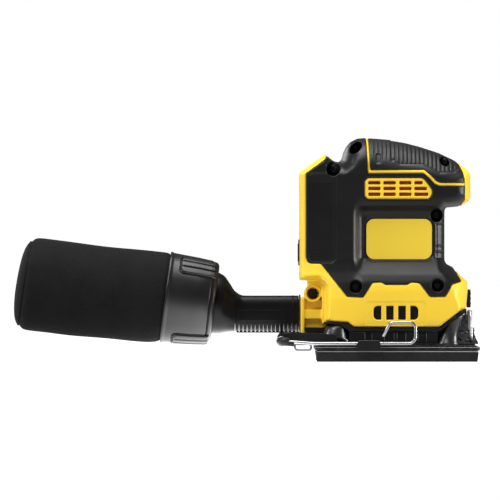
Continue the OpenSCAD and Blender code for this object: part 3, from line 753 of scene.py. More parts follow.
def base_fields():
    """The hard shell: thin walls, ribs, the rear rail strip, the dust port and the screw towers."""
    skin = (np.clip(0.5 + SKIN_IN / 1.0, 0, 1) * 1.3)[:, None, :]
    out = E + skin + SEAM
    panel = 0.25 * step(0.6, -0.6, box2(X2, Z2, -20.8, 19.6, 24.4, 39.8, 2.5))
    out = sunk(out, panel + 0.6 * WELL, 18)
    shell = smax(out, -(E + WALL + skin), 0.4)
    # the wall behind the battery recess, and floors inside
    for x0, x1, z0, z1 in ((-59.6, -57.2, 56, 134), (-26.4, -23.8, 60, 106), (-30, 40, 102.8, 105.2)):
        b = Block(x0, x1, 0, 42, z0, z1)
        shell[b.s] = np.minimum(shell[b.s], np.maximum(b.E + 1.6, b.slab(x0, x1, -50, 50, z0, z1)))
    # lower rear: flange, rib, duct, web and screw boss
    b = Block(-80, -28, 0, 30, 18, 56)
    flange = b.slab(-63.9, -61.2, -20, 20, 18.5, 42.9, 0.8)
    rib = b.slab(-62.0, -46.0, -19.4, 19.4, 28.2, 34.6, 0.5)
    duct = np.maximum(b.cyl_x(0, 31.8, 10.4), b.slab(-63, -28, -40, 40, 10, 60))
    duct = np.minimum(duct, b.slab(-61.8, -46, -9, 9, 21.0, 32, 0.6))
    duct = np.minimum(duct, b.slab(-61.8, -46, -15.5, 15.5, 21.6, 41.0, 0.6))
    web = b.slab(-59.2, -46.0, -23.6, 23.6, 38, 56, 1.2)
    boss = np.maximum(b.cyl_y(-55.8, 45.2, 5.75), np.abs(b.Y) - 24)
    web = np.maximum(web, 44.0 - b.Z + 0 * b.Y)
    spigot = np.maximum(b.cyl_x(0, 31.8, 9.85), b.slab(-79.8, -61, -40, 40, 10, 60))
    back = b.slab(-49.8, -46.5, -30, 30, 25.2, 54)
    rear = smin(smin(smin(flange, rib, 0.6), smin(duct, web, 1.0), 0.8), smin(boss, back, 1.2), 1.2)
    rear = np.minimum(smin(shell[b.s], rear, 0.8), spigot)
    shell[b.s] = np.maximum(rear, -np.maximum(b.cyl_x(0, 31.8, 8.3), b.X + 30))
    # battery rails and the seat of the terminal block
    b = Block(-80, -56, 0, 23, 60, 151)
    cut = np.minimum(np.minimum(b.slab(-62.4, -59.6, -22, 22, 60, 170), b.slab(-80, -62.0, -19, 19, 60, 170, 1.0)), b.slab(-60.4, -56.5, -16.2, 16.2, 62.6, 83))
    shell[b.s] = smax(shell[b.s], -cut, 0.25)
    b = Block(-68, -46, 0, 20, 120, 151)
    shell[b.s] = np.maximum(shell[b.s], -np.maximum(b.slab(-72, -47.8, -19, 19, 122.5, 170), -(b.E + 1.1)))
    shell = smax(shell, -np.maximum(SLOTS[:, None, :], 10 - Y3), 0.25)
    shell = np.maximum(shell, CAP_IN[:, None, :] + 0.12)
    b = Block(28, 52, 0, 13, 106, 128)
    shell[b.s] = np.maximum(shell[b.s], -b.slab(28, 60, -11, 11, 107.6, 127.2))
    shell = np.maximum(shell, 0.05 - Y3)
    right = shell.copy()
    for k, (x, z, ra, rb, tilt, deep) in enumerate(RECESSES):
        # a tower round each screw, then its recess, wider where the soft skin lines it
        b = Block(x - 8, x + 8, 0, 42, z - 8, z + 8)
        for F, y0 in ((right, deep - 9), (shell, 0.05)):
            tower = np.maximum(np.maximum(b.cyl_y(x, z, max(ra, rb) + 1.6), b.E + (2.2 if k < 6 else 30)), y0 - b.Y)
            F[b.s] = np.minimum(F[b.s], tower)
        g = 1.1 if k < 6 else 0.0
        cut = np.maximum(b.ellipse(x, z, ra + g, rb + g, tilt), deep - g - b.Y)
        right[b.s] = smax(right[b.s], -cut, 0.3)
    return right, shell


def grip_depth():
    """Grooves between the ribs of the grip, seen from the side, in mm."""
    low = np.interp(GX, [-12, -4.5, -1.6, 2.0, 18, 28.5, 38.4, 41], [133.0, 133.4, 134.2, 131.4, 131.2, 125.6, 126.2, 128.6])[:, None]
    fade = 1.4 + 4.5 * step(-1.0, -4.0, X2)
    zone = np.clip((Z2 - low) / fade, 0, 1) * step(-16.2, -14.6, X2) * step(41.0, 38.8, X2)
    wave = 0.5 - 0.5 * np.cos((X2 + 16.0) / 2.78 * 2 * np.pi)
    groove = np.clip((wave - 0.4) / 0.6, 0, 1) * (0.16 + 0.84 * step(0.5, 4.5, D2))
    rim = np.exp(-(((Z2 - low) / 0.6) ** 2)) * step(-4.6, -2.4, X2) * step(42, 40, X2)
    slot = step(0.3, -0.3, box2(X2, Z2, -13.9, -10.7, 131.9, 138.3, 0.5))
    near = step(0.9, 0.3, box2(X2, Z2, -13.9, -10.7, 131.9, 138.3, 0.5))
    floor = 0.35 * step(-0.3, 0.5, Z2 - low) * step(-4.6, -3.0, X2) * step(41.0, 38.8, X2)
    return 0.5 * groove * zone * (1 - near) + 0.7 * rim + floor, 0.8 * slot


def body_depth():
    """Shallow lines in the body's skin, seen from the side, in mm."""
    f = 0.33 * np.exp(-((poly_field([(-59.2, 68.2), (-59.2, 123.6), (-57, 125.4), (-43.2, 125.4), (-40.6, 121), (-40.6, 68.2), (-43.4, 65.9), (-57, 65.9)], X2, Z2) / 0.45) ** 2))
    for z in (91.6, 76.8, 72.9):
        f = f + 0.6 * np.exp(-(((Z2 - z) / 0.5) ** 2)) * step(25.2, 26.4, X2)
    f = f + 0.33 * np.exp(-(((X2 - 26.6) / 0.45) ** 2)) * step(68.5, 70.5, Z2) * step(93.6, 91.6, Z2)
    return f + 0.28 * np.exp(-((VENT_IN + 0.55) ** 2) / 0.2)


def skin_fields(inside, top_depth, side_depth):
    top = E - 0.28 + SEAM
    if top_depth is not None:
        top = top + top_depth[:, None, :]
    top = sunk(top, side_depth + 0.6 * WELL, 18)
    f = smax(top, -inside[:, None, :], 0.6)
    f = np.maximum(f, -sunk(E + SKIN, 0.6 * WELL, 18))
    b = Block(-80, -62, 0, 20, 60, 151)
    f[b.s] = np.maximum(f[b.s], -b.slab(-80, -62.0, -19, 19, 60, 170, 1.0))
    f = np.maximum(f, 0.05 - Y3)
    right = f.copy()
    for k, (x, z, ra, rb, tilt, deep) in enumerate(RECESSES[:6]):
        if inside[int((x - GX[0]) / H), int((z - GZ[0]) / H)] < 0:
            continue
        b = Block(x - 8, x + 8, 0, 42, z - 8, z + 8)
        hole = np.maximum(b.ellipse(x, z, ra, rb, tilt), deep - b.Y)
        cup = np.maximum(np.maximum(b.ellipse(x, z, ra + 1.05, rb + 1.05, tilt), deep - 1.1 - b.Y), top[b.s] + 0.1)
        right[b.s] = smax(np.minimum(right[b.s], cup), -hole, 0.3)
    return right, f


RIBS, NOTCH = grip_depth()
BODY_ONLY = np.minimum(BODY_IN, -(VENT_IN + 0.15))
shell_r, shell_l = base_fields()
body_r, body_l = skin_fields(BODY_ONLY, None, body_depth())
grip_r, grip_l = skin_fields(GRIP_IN, RIBS, NOTCH)
for tag, shell, body, grip in (("right", shell_r, body_r, grip_r), ("left", shell_l, body_l, grip_l)):
    flip = tag == "right"
    put("shell_" + tag, volume_mesh("shell_" + tag, shell, LO, H, flip), M["yellow"], "housing", ["housing_" + tag])
    put("body_skin_" + tag, volume_mesh("body_skin_" + tag, body, LO, H, flip), M["overmould"], "housing", ["body_overmould_" + tag])
    put("grip_skin_" + tag, volume_mesh("grip_skin_" + tag, grip, LO, H, flip), M["grip"], "housing", ["grip_overmould_" + tag])

# front cap, cut from the same outside surface and meshed whole
b = Block(37, 52, 0, 42, 100, 142, 0)
win = np.minimum(b.slab(40, 60, -11.2, 11.2, 115.9, 126.7, 1.6), b.slab(40, 60, -10.8, 10.8, 107.8, 115.2, 1.2))
cap = smax(smax(b.E - 0.15, -CAP_IN[b.s[0]][:, None, b.s[2]], 0.5), -(b.E + 2.4), 0.3)
cap = smax(cap, -win, 0.6)[:, 3:]
cap = np.concatenate([cap[:, :0:-1], cap], axis=1)
me = volume_mesh("front_cap_shell", cap, (GX[b.s[0]][0], -GY[b.s[1]][-1], GZ[b.s[2]][0]), H)
put("front_cap_shell", me, M["yellow"], "housing", ["front_cap"])

# ---------------------------------------------------------------- housing details

b = Build()
circ = [(math.cos(2 * math.pi * j / 36), math.sin(2 * math.pi * j / 36)) for j in range(36)]
lobe = [1.5 + 0.3 * math.cos(6 * 2 * math.pi * j / 36) for j in range(36)]
for x, z, ra, rb, tilt, deep in RECESSES:
    b.place = frame_at((x, -deep - 2.3, z), (0, -1, 0), (1, 0, 0))
    ring = lambda r, h: [(c * r, s * r, h) for c, s in circ]
    star = lambda k, h: [(c * d * k, s * d * k, h) for (c, s), d in zip(circ, lobe)]
    q = min(1.0, (min(ra, rb) - 0.25) / 3.15)
    b.rings([ring(3.0 * q, -2.4), ring(3.15 * q, -2.2), ring(3.15 * q, -0.9), ring(2.95 * q, -0.35), ring(2.4 * q, -0.05), star(q, 0.0), star(0.96 * q, -1.1)])
    b.place = Matrix()
b.done("screw_heads", M["dark_steel"], "housing", ["housing_screws"], "dark_steel", sharp=40)

# a wall and louvres behind the upper vent slots, coloured dark orange as painted shade inside the slots
b = Build()
b.box(-21.5, 22.5, -29.0, -28.4, 107.4, 122.4, r=0.2)
for r in range(3):
    z = 117.7 - 3.82 * r
    b.prism([(-31.5, z - 0.7), (-31.5, z + 0.1), (-28.7, z + 2.3), (-28.7, z - 0.7)], -21.5, 22.5, axis="x", r=0.1)
b.mirrored()
b.done("vent_baffles", M["baffle"], "housing", [], None)

b = Build().prism(round_rect(-20.2, 23.4, 68.1, 94.9, 5.2, 8), -27.5, -26.3, r=0.16, seg=2)
b.done("rating_plate", M["label"], "housing", ["rating_plate_blank"], "yellow_label")

pocket = [(-58.8, 71.4), (-57.6, 70.4), (-45.8, 70.4), (-43.4, 73.0), (-43.4, 118.2), (-44.8, 119.6), (-57.4, 119.6), (-58.8, 118.2)]
Build().prism(pocket, -35.05, -34.0, r=0.3).mirrored().done("pocket_covers", M["black"], "housing", ["pocket_cover"], "black_plastic")

b = Build().prism(round_rect(-8.8, 8.8, 35.8, 47.8, 1.2, 4), 47.3, 49.7, axis="x", r=0.5, seg=3)
for z in (38.6, 41.8, 45.0):
    b.box(49.2, 50.0, -6.6, 6.6, z - 0.55, z + 0.55, r=0.25)
b.done("front_bumper_pad", M["rubber"], "housing", ["front_bumper"], "soft_rubber")

# the rubber skirt under the housing: stepped sides, an upper lip, a backing behind the lower vents and a turned-up nose
b = Build()
b.prism([(-21, 25.4), (20.5, 25.4), (20.5, 39.0), (-21, 39.0)], -35.9, -35.1, r=0.1)
for x in (-15, -8.4, -0.3, 7.8, 15):
    b.box(x - 0.6, x + 0.6, -36.6, -35.7, 26.4, 38.4, r=0.15)
b.prism([(-31.9, 11.7), (27.2, 11.7), (27.2, 21.0), (-31.9, 21.0)], -36.4, -33.9, r=0.3)
for x0, x1, y in ((-31.9, -21.2, 36.9), (-16.8, -8.2, 37.2), (-2.0, 0.2, 37.0), (5.8, 14.2, 37.2), (19.5, 27.2, 36.9)):
    b.box(x0, x1, -y, -36.0, 11.9, 20.8, r=0.35, seg=2)
b.prism([(-48.6, 26.5), (-48.6, 25.4), (-37.4, 24.2), (-31.6, 20.2), (27.8, 20.2), (29.6, 21.0), (46.2, 32.9), (46.2, 35.4), (28.6, 22.6), (-28.6, 22.6), (-33.0, 25.4), (-40.0, 26.2)], -38.3, -33.6, r=0.3)
b.mirrored()
b.box(-31.9, -29.4, -36.2, 36.2, 11.7, 21.9, r=0.5)
b.box(24.8, 27.3, -36.2, 36.2, 11.7, 21.9, r=0.5)
b.prism([(-61.4, 21.6), (-60.8, 19.0), (-57.0, 17.9), (-38.0, 17.8), (-37.0, 15.4), (-29.6, 15.4), (-29.6, 22.6), (-61.4, 22.6)], -23.5, 23.5, r=0.4)
b.box(24.8, 31.6, -23.5, 23.5, 15.4, 22.6, r=0.4)
b.prism([(28.0, 20.6), (46.2, 33.2), (46.2, 35.2), (27.8, 22.6)], -27.4, 27.4, r=0.2)
for s in (-1, 1):
    b.prism([(28.0, 20.6), (44.2, 31.8), (44.2, 33.8), (27.8, 22.6)], s * 34, s * 27.2, r=0.2)
b.done("dust_skirt", M["rubber"], "housing", ["dust_shroud"], "soft_rubber")

# lighter strips on the corners of the skirt's panels: rubbed wear and painted highlight
b = Build()
for x, y, z0, z1, r in ((-21.3, 36.95, 12.2, 19.4, 0.26), (-16.7, 37.2, 12.2, 19.6, 0.17), (-8.3, 37.2, 12.2, 17.0, 0.17), (-1.9, 37.0, 12.2, 19.6, 0.22),
                       (0.1, 37.0, 12.2, 19.6, 0.24), (5.9, 37.2, 12.2, 19.8, 0.22), (14.1, 37.2, 12.2, 19.8, 0.17), (19.6, 36.95, 12.2, 19.8, 0.2)):
    b.tube([(x, -y, z0), (x, -y, (z0 + z1) / 2), (x, -y, z1)], [r * 0.5, r, r * 0.6], 8)
b.tube(rounded([(-31.7, -36.95, 20.3), (-30.0, -37.0, 19.5), (-21.4, -37.0, 19.4)], 0.8, 4), 0.24, 8)
b.tube([(19.7, -37.0, 19.9), (23.5, -37.0, 19.9), (27.0, -37.0, 20.3)], 0.2, 8)
b.mirrored()
b.done("skirt_edges", M["edge"], "housing", [], "soft_rubber", sharp=60, weighted=False)

# battery terminal block with guard fins and blades
b = Build().box(-65.4, -56.2, -15.6, 15.6, 63.8, 81.4, r=0.6)
for y in (-15.0, -9.0, -3.0, 3.0, 9.0, 15.0):
    b.box(-64.6, -58.4, y - 0.55, y + 0.55, 80.6, 94.5, r=0.3)
for y in (-12, -6, 0, 6, 12):
    b.box(-65.8, -65.2, y - 1.5, y + 1.5, 66.5, 78.5, r=0.3)
b.box(-58.2, -56.9, -15.4, 15.4, 81.0, 96.5, r=0.4)
b.done("terminal_housing", M["black"], "housing", ["terminal_block"], "black_plastic")
b = Build()
for i in range(-2, 3):
    b.prism([(-64.3, 81.0), (-60.2, 81.0), (-60.2, 95.6), (-63.4, 95.6), (-64.3, 94.4)], i * 6 - 0.4, i * 6 + 0.4, r=0.12, seg=1)
b.done("terminal_blades", M["brass"], "housing", ["battery_contacts"], "contact_brass")

# rocker: a soft key with two finger pads and a raised bead between them
b = Build()
face = [(48.6, 117.8), (49.1, 118.4), (48.7, 120.0), (48.2, 121.3), (48.5, 122.7), (48.9, 124.4), (48.4, 125.1)]
b.prism([(38.8, 118.4), (46.4, 117.5), *face, (46.4, 125.3), (38.8, 124.2)], -9.9, 9.9, r=0.55, seg=3)
b.box(47.9, 48.75, -8.6, 8.6, 120.7, 121.9, r=0.3)
for y in np.arange(-6.6, 6.7, 2.2):
    for z in (118.9, 123.8):
        b.box(48.5, 49.15, y - 0.55, y + 0.55, z - 0.55, z + 0.55, r=0.3)
b.done("rocker_pad", M["rubber"], "rocker", ["rocker_key"], "soft_rubber")

# dial: a thumb wheel with scalloped teeth
n = 108
wheel = [(r_, t_) for r_, t_ in ((9.0 - 0.42 * (0.5 + 0.5 * math.cos(18 * 2 * math.pi * k / n)) ** 2, 2 * math.pi * k / n) for k in range(n))]
b = Build()
b.place = Matrix.Translation((39.3, 0, 0))
ringz = lambda k, z: [(r_ * k * math.cos(t_), r_ * k * math.sin(t_), z) for r_, t_ in wheel]
plain = lambda r_, z: [(r_ * math.cos(t_), r_ * math.sin(t_), z) for _, t_ in wheel]
b.rings([plain(4.0, 108.4), ringz(0.95, 108.4), ringz(1.0, 108.9), ringz(1.0, 114.1), ringz(0.95, 114.6), plain(6.6, 114.6), plain(6.2, 114.1), plain(4.0, 114.1)])
b.done("dial_wheel", M["black"], "dial", ["speed_dial"], "black_plastic", sharp=50)

# ---------------------------------------------------------------- pad and clamps

b = Build()
outline = round_rect(-54, 54, -57, 57, 0.8, 3)
grow = lambda k, z: [(x * (1 + k / 54), y * (1 + k / 57), z) for x, y in outline]
b.rings([grow(-0.95, 0.0), grow(-0.75, 0.15), grow(-0.6, 1.4), grow(-0.45, 3.2), grow(-0.15, 5.6), grow(-0.1, 6.35), grow(-0.25, 6.5)])
fp = b.done("foam_block", M["foam"], "platen", ["foam_pad"], "pad_foam", sharp=60)
b = Build().prism(round_rect(-53.4, 53.6, -56.6, 56.6, 2.0, 4), 6.5, 7.25, axis="z", r=0.12, seg=1)
b.done("backing_sheet", M["backing"], "platen", ["pad_backing"], "pale_backing")

b = Build()
outline = round_rect(-55, 55, -57, 57, 2.6, 4)
inner = round_rect(-52.6, 52.6, -54.6, 54.6, 2.0, 4)
at = lambda pts, z, k=0.0: [(x - math.copysign(k, x), y - math.copysign(k, y), z) for x, y in pts]
b.rings([at(outline, 7.3, 1.1), at(outline, 7.6, 0.6), at(outline, 8.1, 0.1), at(outline, 9.0), at(outline, 9.4, 0.35), at(inner, 9.75, -0.9), at(inner, 10.1, -0.3), at(inner, 10.7), at(inner, 10.9, 0.35)])
for y in (-50.5, -43.5, 43.5, 50.5):
    b.box(-26, 27, y - 0.6, y + 0.6, 10.5, 12.0, r=0.25)
for x in (-20, -8, 8, 20):
    for s in (-1, 1):
        b.box(x - 0.6, x + 0.6, s * 53, s * 39.5, 10.5, 12.0, r=0.25)
b.lathe([(15.0, 10.5), (15.0, 23.4), (14.5, 23.9), (11.2, 23.9), (11.05, 23.6), (11.05, 16.0), (7.0, 16.0), (7.0, 10.5)], 48)
for x, y in ((-36, -33), (-36, 33), (33.5, -33), (33.5, 33)):
    b.lathe([(7.0, 10.5), (7.0, 11.6), (6.6, 12.0), (5.7, 12.0), (5.7, 10.5)], 32, axis=Matrix.Translation((x, y, 0)))
b.done("platen_plate", M["platen"], "platen", ["platen"], "platen_black", sharp=38)
# a grey tube round the platen's upper edge: painted highlight
rim = at(outline, 9.62, 0.12)
Build().tube(rim + [rim[0]], 0.24, 8, ends=False).done("platen_edge", M["bright_edge"], "platen", [], "platen_black", sharp=60, weighted=False)

# soft boots round the posts: the front ones flare to the foot, the rear ones to the top
b = Build()
for sy in (-1, 1):
    for x, prof in ((33.5, [(11.0, 1.4, 0), (11.0, 7.0, 0.6), (11.7, 7.3, 0.6), (12.6, 7.0, 0.6), (14.4, 6.3, 0.9), (17.0, 5.7, 1.4), (20.0, 5.4, 2.2), (23.6, 5.3, 3.2), (27.0, 5.5, 4.2), (29.6, 5.9, 5.0), (31.2, 5.2, 5.4), (31.4, 1.4, 5.4)]),
                    (-36, [(11.0, 1.4, 0), (11.0, 5.6, 0), (12.4, 5.6, 0), (13.4, 5.2, 0), (14.4, 6.6, -1.8), (15.4, 8.0, -4.2), (16.4, 8.4, -5.2), (17.8, 8.2, -5.2), (19.4, 7.8, -5.0), (21.0, 7.3, -4.7), (22.4, 6.9, -4.4), (23.4, 6.2, -4.0), (24.2, 5.0, -3.0), (24.4, 1.4, -2.4)])):
        out = []
        for (z, r, dx) in prof:
            out.append([(x + dx + r * math.cos(t), sy * 33 + 0.92 * r * math.sin(t), z) for t in np.linspace(0, 2 * math.pi, 48, endpoint=False)])
        b.rings(out)
b.done("posts", M["post"], "platen", ["platen_legs"], "soft_rubber", sharp=60, weighted=False)

b = Build().prism([(-27.7, 7.6), (-11.2, 7.6), (-11.2, 12.2), (-11.7, 13.5), (-12.6, 14.2), (-25.0, 14.2), (-26.0, 13.6), (-26.8, 12.2)], -62.1, -60.95, r=0.3)
b.box(-27.4, -11.4, -61.6, -57.1, 7.6, 9.3, r=0.3)
b.box(-26.6, -24.6, -61.2, -57.3, 9.0, 10.9, r=0.3)
b.box(-13.9, -11.9, -61.2, -57.3, 9.0, 10.9, r=0.3)
b.done("wire_clip", M["black"], "platen", ["lever_clip"], "black_plastic")
# a lighter strip on the clip's top edge: painted highlight and rubbed wear
Build().tube(rounded([(-26.6, -61.85, 12.4), (-25.6, -61.85, 13.8), (-24.9, -61.85, 14.12), (-12.7, -61.85, 14.12), (-11.9, -61.85, 13.6), (-11.4, -61.85, 12.4)], 0.4, 3), 0.2, 8).done(
    "clip_edge", M["edge"], "platen", [], "black_plastic", sharp=60, weighted=False)

RX, RZ = -76.9, 13.6
b = Build()
for s in (-1, 1):
    b.prism([(-76.8, 10.95), (-40.0, 10.95), (-40.0, 16.6), (-42.0, 18.2), (-52.0, 18.9), (-60.0, 19.3), (-70.0, 19.5), (-74.8, 18.9), (-76.8, 17.2)], s * 48.4, s * 45.6, r=0.45)
    b.cyl((RX, s * 45.5, RZ), (RX, s * 48.5, RZ), 2.8, 0.3)
    b.prism([(-79.7, 15.6), (-77.6, 19.0), (-72.3, 19.0), (-71.2, 17.4), (-74.0, 15.6)], s * 48.2, s * 45.8, r=0.4)
b.box(-52, -42, -50, 50, 10.95, 12.3, r=0.3)
for y in (-36, -12, 12, 36):
    b.prism([(-51.4, 12.0), (-42.6, 12.0), (-42.6, 13.2), (-50.6, 13.4)], y - 0.7, y + 0.7, r=0.2)
b.done("rear_bracket", M["black"], "platen", ["rear_clamp_bracket"], "clamp_black")

b = Build()
hook = rounded([(-67.9, -51.0, 11.6), (-67.9, -51.0, 7.8), (-57.3, -51.0, 7.8), (-57.3, -51.0, 11.4), (-60.2, -50.8, 11.9)], 1.6, 5)
b.tube(hook, 0.8, 10)
b.tube(rounded([(-67.9, -51.0, 11.4), (-66.2, -50.4, 12.3), (-62.0, -49.0, 12.6)], 1.0, 4), 0.8, 10)
b.tube([(RX + 2.9 * math.cos(a), -49.6 - 0.32 * a, RZ + 2.9 * math.sin(a)) for a in np.arange(0, 6 * math.pi, 0.35)], 0.6, 8)
b.done("rear_spring", M["dim_wire"], "platen", ["rear_clamp_spring"], "spring_wire", sharp=60, weighted=False)

LY = -59.5
lever = rounded([(RX, 52, RZ), (RX, LY, RZ), (-66.0, LY, 13.0), (-55.5, LY, 12.2), (8.8, LY, 12.2), (11.9, LY, 14.6), (11.9, LY, 23.4), (9.6, LY, 26.0), (-4.8, LY, 26.0), (-9.3, LY, 16.9)],
                [2.6, 14, 14, 3.0, 3.0, 2.6, 2.6, 3.2], 6)
Build().tube(lever, 1.1, 16).done("lever_wire", M["wire"], "rear_clamp", ["rear_clamp_lever"], "spring_wire", sharp=70, weighted=False)

b = Build()
for s in (-1, 1):
    b.prism([(-75.0, 13.4), (-60.6, 13.4), (-57.6, 11.4), (-53.8, 11.3), (-53.6, 12.0), (-56.6, 12.8), (-59.6, 15.0), (-75.0, 15.0)], s * 43 , s * 27, r=0.3)
    for y in (27.6, 34.4, 41.4):
        b.cyl((RX, s * y, RZ), (RX, s * (y + 1.4), RZ), 2.5, 0.2)
        b.prism([(-76.4, 15.8), (-72.0, 15.4), (-61.0, 15.2), (-61.0, 14.6), (-76.4, 14.6)], s * y, s * (y + 1.2), r=0.25)
    for k in range(5):
        b.prism([(-57.4 + k * 0.75, 11.5), (-57.05 + k * 0.75, 11.05), (-56.7 + k * 0.75, 11.5)], s * 42.4, s * 27.6, r=0)
b.done("rear_jaw", M["clamp"], "rear_clamp", ["rear_clamp_jaw"], "clamp_black")

b = Build()
b.cyl((RX, -55.0, RZ), (RX, -49.0, RZ), 2.8, 0.5)
b.cyl((RX, -26.5, RZ), (RX, 26.5, RZ), 2.8, 0.5)
b.tube(rounded([(RX, -52.0, RZ), (RX, LY, RZ), (-72.6, LY, 13.4)], 2.6, 6), 2.85, 20)
b.tube([(-74.0, LY, 12.4), (-70.4, LY, 12.1), (-69.0, LY, 12.0)], 1.75, 16)
b.done("lever_sleeve", M["rubber"], "rear_clamp", ["rear_clamp_sleeve"], "soft_rubber", sharp=60, weighted=False)

FX, FZ = 49.4, 15.0
b = Build().box(41, 52, -32, 32, 10.95, 12.0, r=0.3)
for s in (-1, 1):
    b.prism([(39.5, 11.2), (52.4, 11.2), (52.4, 16.6), (51.4, 18.2), (48.4, 20.2), (47.9, 22.5), (47.95, 33.0), (47.5, 33.8), (46.9, 31.6), (45.6, 30.2), (41.4, 26.6), (39.5, 22.5)], s * 32, s * 29, r=0.5)
    for q in ((41.6, 24.6, 1.3), (45.9, 28.3, 0.9), (46.3, 19.2, 1.0), (44.6, 23.4, 0.7), (42.4, 15.4, 1.6), (46.6, 14.0, 1.2)):
        b.place = Matrix.Translation((q[0], s * 31.5, q[1]))
        dome = [(q[2] * math.cos(t), q[2] * 0.9 * math.sin(t)) for t in np.linspace(-0.2, math.pi / 2 - 0.08, 7)]
        b.place = frame_at((q[0], s * 31.5, q[1]), (0, s, 0), (1, 0, 0))
        b.rings([[(r * math.cos(a), r * math.sin(a), h) for a in np.linspace(0, 2 * math.pi, 20, endpoint=False)] for r, h in dome])
        b.place = Matrix()
    b.cyl((FX, s * 28.6, FZ), (FX, s * 32.6, FZ), 2.4, 0.3)
    b.cyl((43.2, s * 28.8, 19.6), (43.2, s * 32.5, 19.6), 1.5, 0.3)
    b.prism([(40.4, 21.4), (43.6, 25.6), (46.4, 25.6), (46.0, 22.6), (43.0, 20.6)], s * 31.6, s * 30.2, r=0.35)
for y in (-22, -8, 8, 22):
    b.prism([(41.6, 11.8), (50.6, 11.8), (50.6, 12.4), (44.0, 14.6), (41.6, 14.6)], y - 0.7, y + 0.7, r=0.2)
b.done("front_bracket", M["gloss"], "platen", ["front_clamp_bracket"], "clamp_black")

b = Build()
for s in (-1, 1):
    turns = np.arange(0, 7 * 2 * math.pi, 0.4)
    b.tube([(FX + 2.15 * math.cos(a), s * (17.6 + 1.3 * a / (2 * math.pi)), FZ + 2.15 * math.sin(a)) for a in turns], 0.56, 8)
    b.tube(rounded([(FX + 2.15, s * 17.6, FZ), (FX + 2.3, s * 17.2, FZ + 5.5), (FX + 1.9, s * 14.6, FZ + 7.0)], 1.0, 4), 0.56, 8)
b.done("front_spring", M["wire"], "platen", ["front_clamp_spring"], "spring_wire", sharp=60, weighted=False)

bail = rounded([(FX, 20, FZ), (FX, 35.4, FZ), (49.2, 30.0, 33.0), (49.2, -30.0, 33.0), (FX, -35.4, FZ), (FX, -20, FZ)], [2.4, 4.0, 4.0, 2.4], 7)
Build().tube(bail, 1.1, 16).done("bail_wire", M["bail"], "front_bail", ["front_clamp_bail"], "spring_wire", sharp=70, weighted=False)
b = Build()
b.prism([(49.3, 16.3), (51.6, 16.4), (54.1, 13.6), (54.8, 11.4), (53.4, 11.35), (51.6, 14.2), (49.3, 14.2)], -15, 15, r=0.35)
b.cyl((FX, -15, FZ), (FX, 15, FZ), 2.35, 0.3)
for y in (-13.4, -6.7, 0, 6.7, 13.4):
    b.prism([(48.0, 16.6), (51.4, 17.2), (53.6, 14.8), (53.2, 13.8), (49.2, 15.4)], y - 0.6, y + 0.6, r=0.25)
b.done("front_jaw", M["gloss"], "front_jaw", ["front_clamp_jaw"], "clamp_black")

# ---------------------------------------------------------------- dust adaptor


def smooth_interp(x, xs, ys):
    """A curve through the points, with no overshoot between them."""
    xs, ys = np.asarray(xs, float), np.asarray(ys, float)
    d = np.diff(ys) / np.diff(xs)
    m = np.concatenate([[d[0]], np.where(d[1:] * d[:-1] > 0, 2 * d[1:] * d[:-1] / np.where(d[1:] + d[:-1] == 0, 1, d[1:] + d[:-1]), 0), [d[-1]]])
    i = np.clip(np.searchsorted(xs, x) - 1, 0, len(xs) - 2)
    h = xs[i + 1] - xs[i]
    t = (x - xs[i]) / h
    return (2 * t**3 - 3 * t**2 + 1) * ys[i] + (t**3 - 2 * t**2 + t) * h * m[i] + (-2 * t**3 + 3 * t**2) * ys[i + 1] + (t**3 - t**2) * h * m[i + 1]


TILT = math.radians(7.2)
AXIS = Vector((-math.cos(TILT), 0, math.sin(TILT)))
UP = Vector((math.sin(TILT), 0, math.cos(TILT)))
HUB = Vector((-121, 0, 38.6))
LOCAL = frame_at(HUB, AXIS, UP)     # x is up, y is +Y, z runs along the bag

N = 96
ANG = [2 * math.pi * j / N for j in range(N)]


def section(s, wall=0.0):
    """One ring of the adaptor at s along it: 0 at the port, 1 at the collar's mouth."""
    at = [0, 0.55, 0.66, 0.75, 0.84, 0.92, 1.0]
    x = smooth_interp(s, at, [-65.2, -94, -101.8, -107.4, -112.2, -116.6, -120.5])
    z = smooth_interp(s, at, [31.75, 31.7, 31.72, 32.9, 35.6, 37.6, 38.5])
    r = smooth_interp(s, at, [12.0, 12.0, 12.05, 13.3, 16.4, 19.4, 20.4])
    w = smooth_interp(s, at, [11.6, 11.7, 11.8, 13.2, 16.3, 19.4, 20.4])
    lean = smooth_interp(s, [0, 0.66, 0.84, 1.0], [0.0, 0.0, 0.06, TILT])
    p = smooth_interp(s, [0, 0.6, 0.9, 1.0], [4.0, 3.8, 2.2, 2.0])
    up = Vector((math.sin(lean), 0, math.cos(lean)))
    out = []
    for a in ANG:
        c, q = math.cos(a), math.sin(a)
        k = (abs(c) ** p + abs(q) ** p) ** (-1 / p)
        out.append(Vector((x, 0, z)) + up * (c * k * (r - wall)) + Vector((0, q * k * (w - wall), 0)))
    return out


b = Build()
rings = [section(s) for s in np.linspace(0, 1, 60)]
loc = lambda r, h: [LOCAL @ Vector((r * math.cos(a), r * math.sin(a), h)) for a in ANG]
lip = [loc(20.5, -0.6), loc(20.5, 3.2), loc(20.2, 3.6), loc(18.3, 3.6), loc(18.0, 4.0), loc(18.0, 16.6), loc(17.7, 17.0), loc(16.5, 17.0), loc(16.2, 16.6), loc(16.2, 1.4)]
inside = [section(s, 2.0) for s in np.linspace(0.98, 0.0, 40)]
first = section(0.0, 0.35)
rings = [first] + [[q + Vector((-0.35, 0, 0)) for q in rings[0]]] + rings[1:]
b.rings(rings + lip + inside, closed=True)


def band(s, a0, a1, height, n=26):
    """Points on the adaptor's skin from angle a0 to a1 (0 is up, 90 the far side) at s, lifted by height."""
    ring = section(s, -height)
    out = []
    for k in range(n + 1):
        a = math.radians(a0 + (a1 - a0) * k / n) / (2 * math.pi) * N
        i = int(math.floor(a)) % N
        out.append(ring[i].lerp(ring[(i + 1) % N], a - math.floor(a)))
    return out


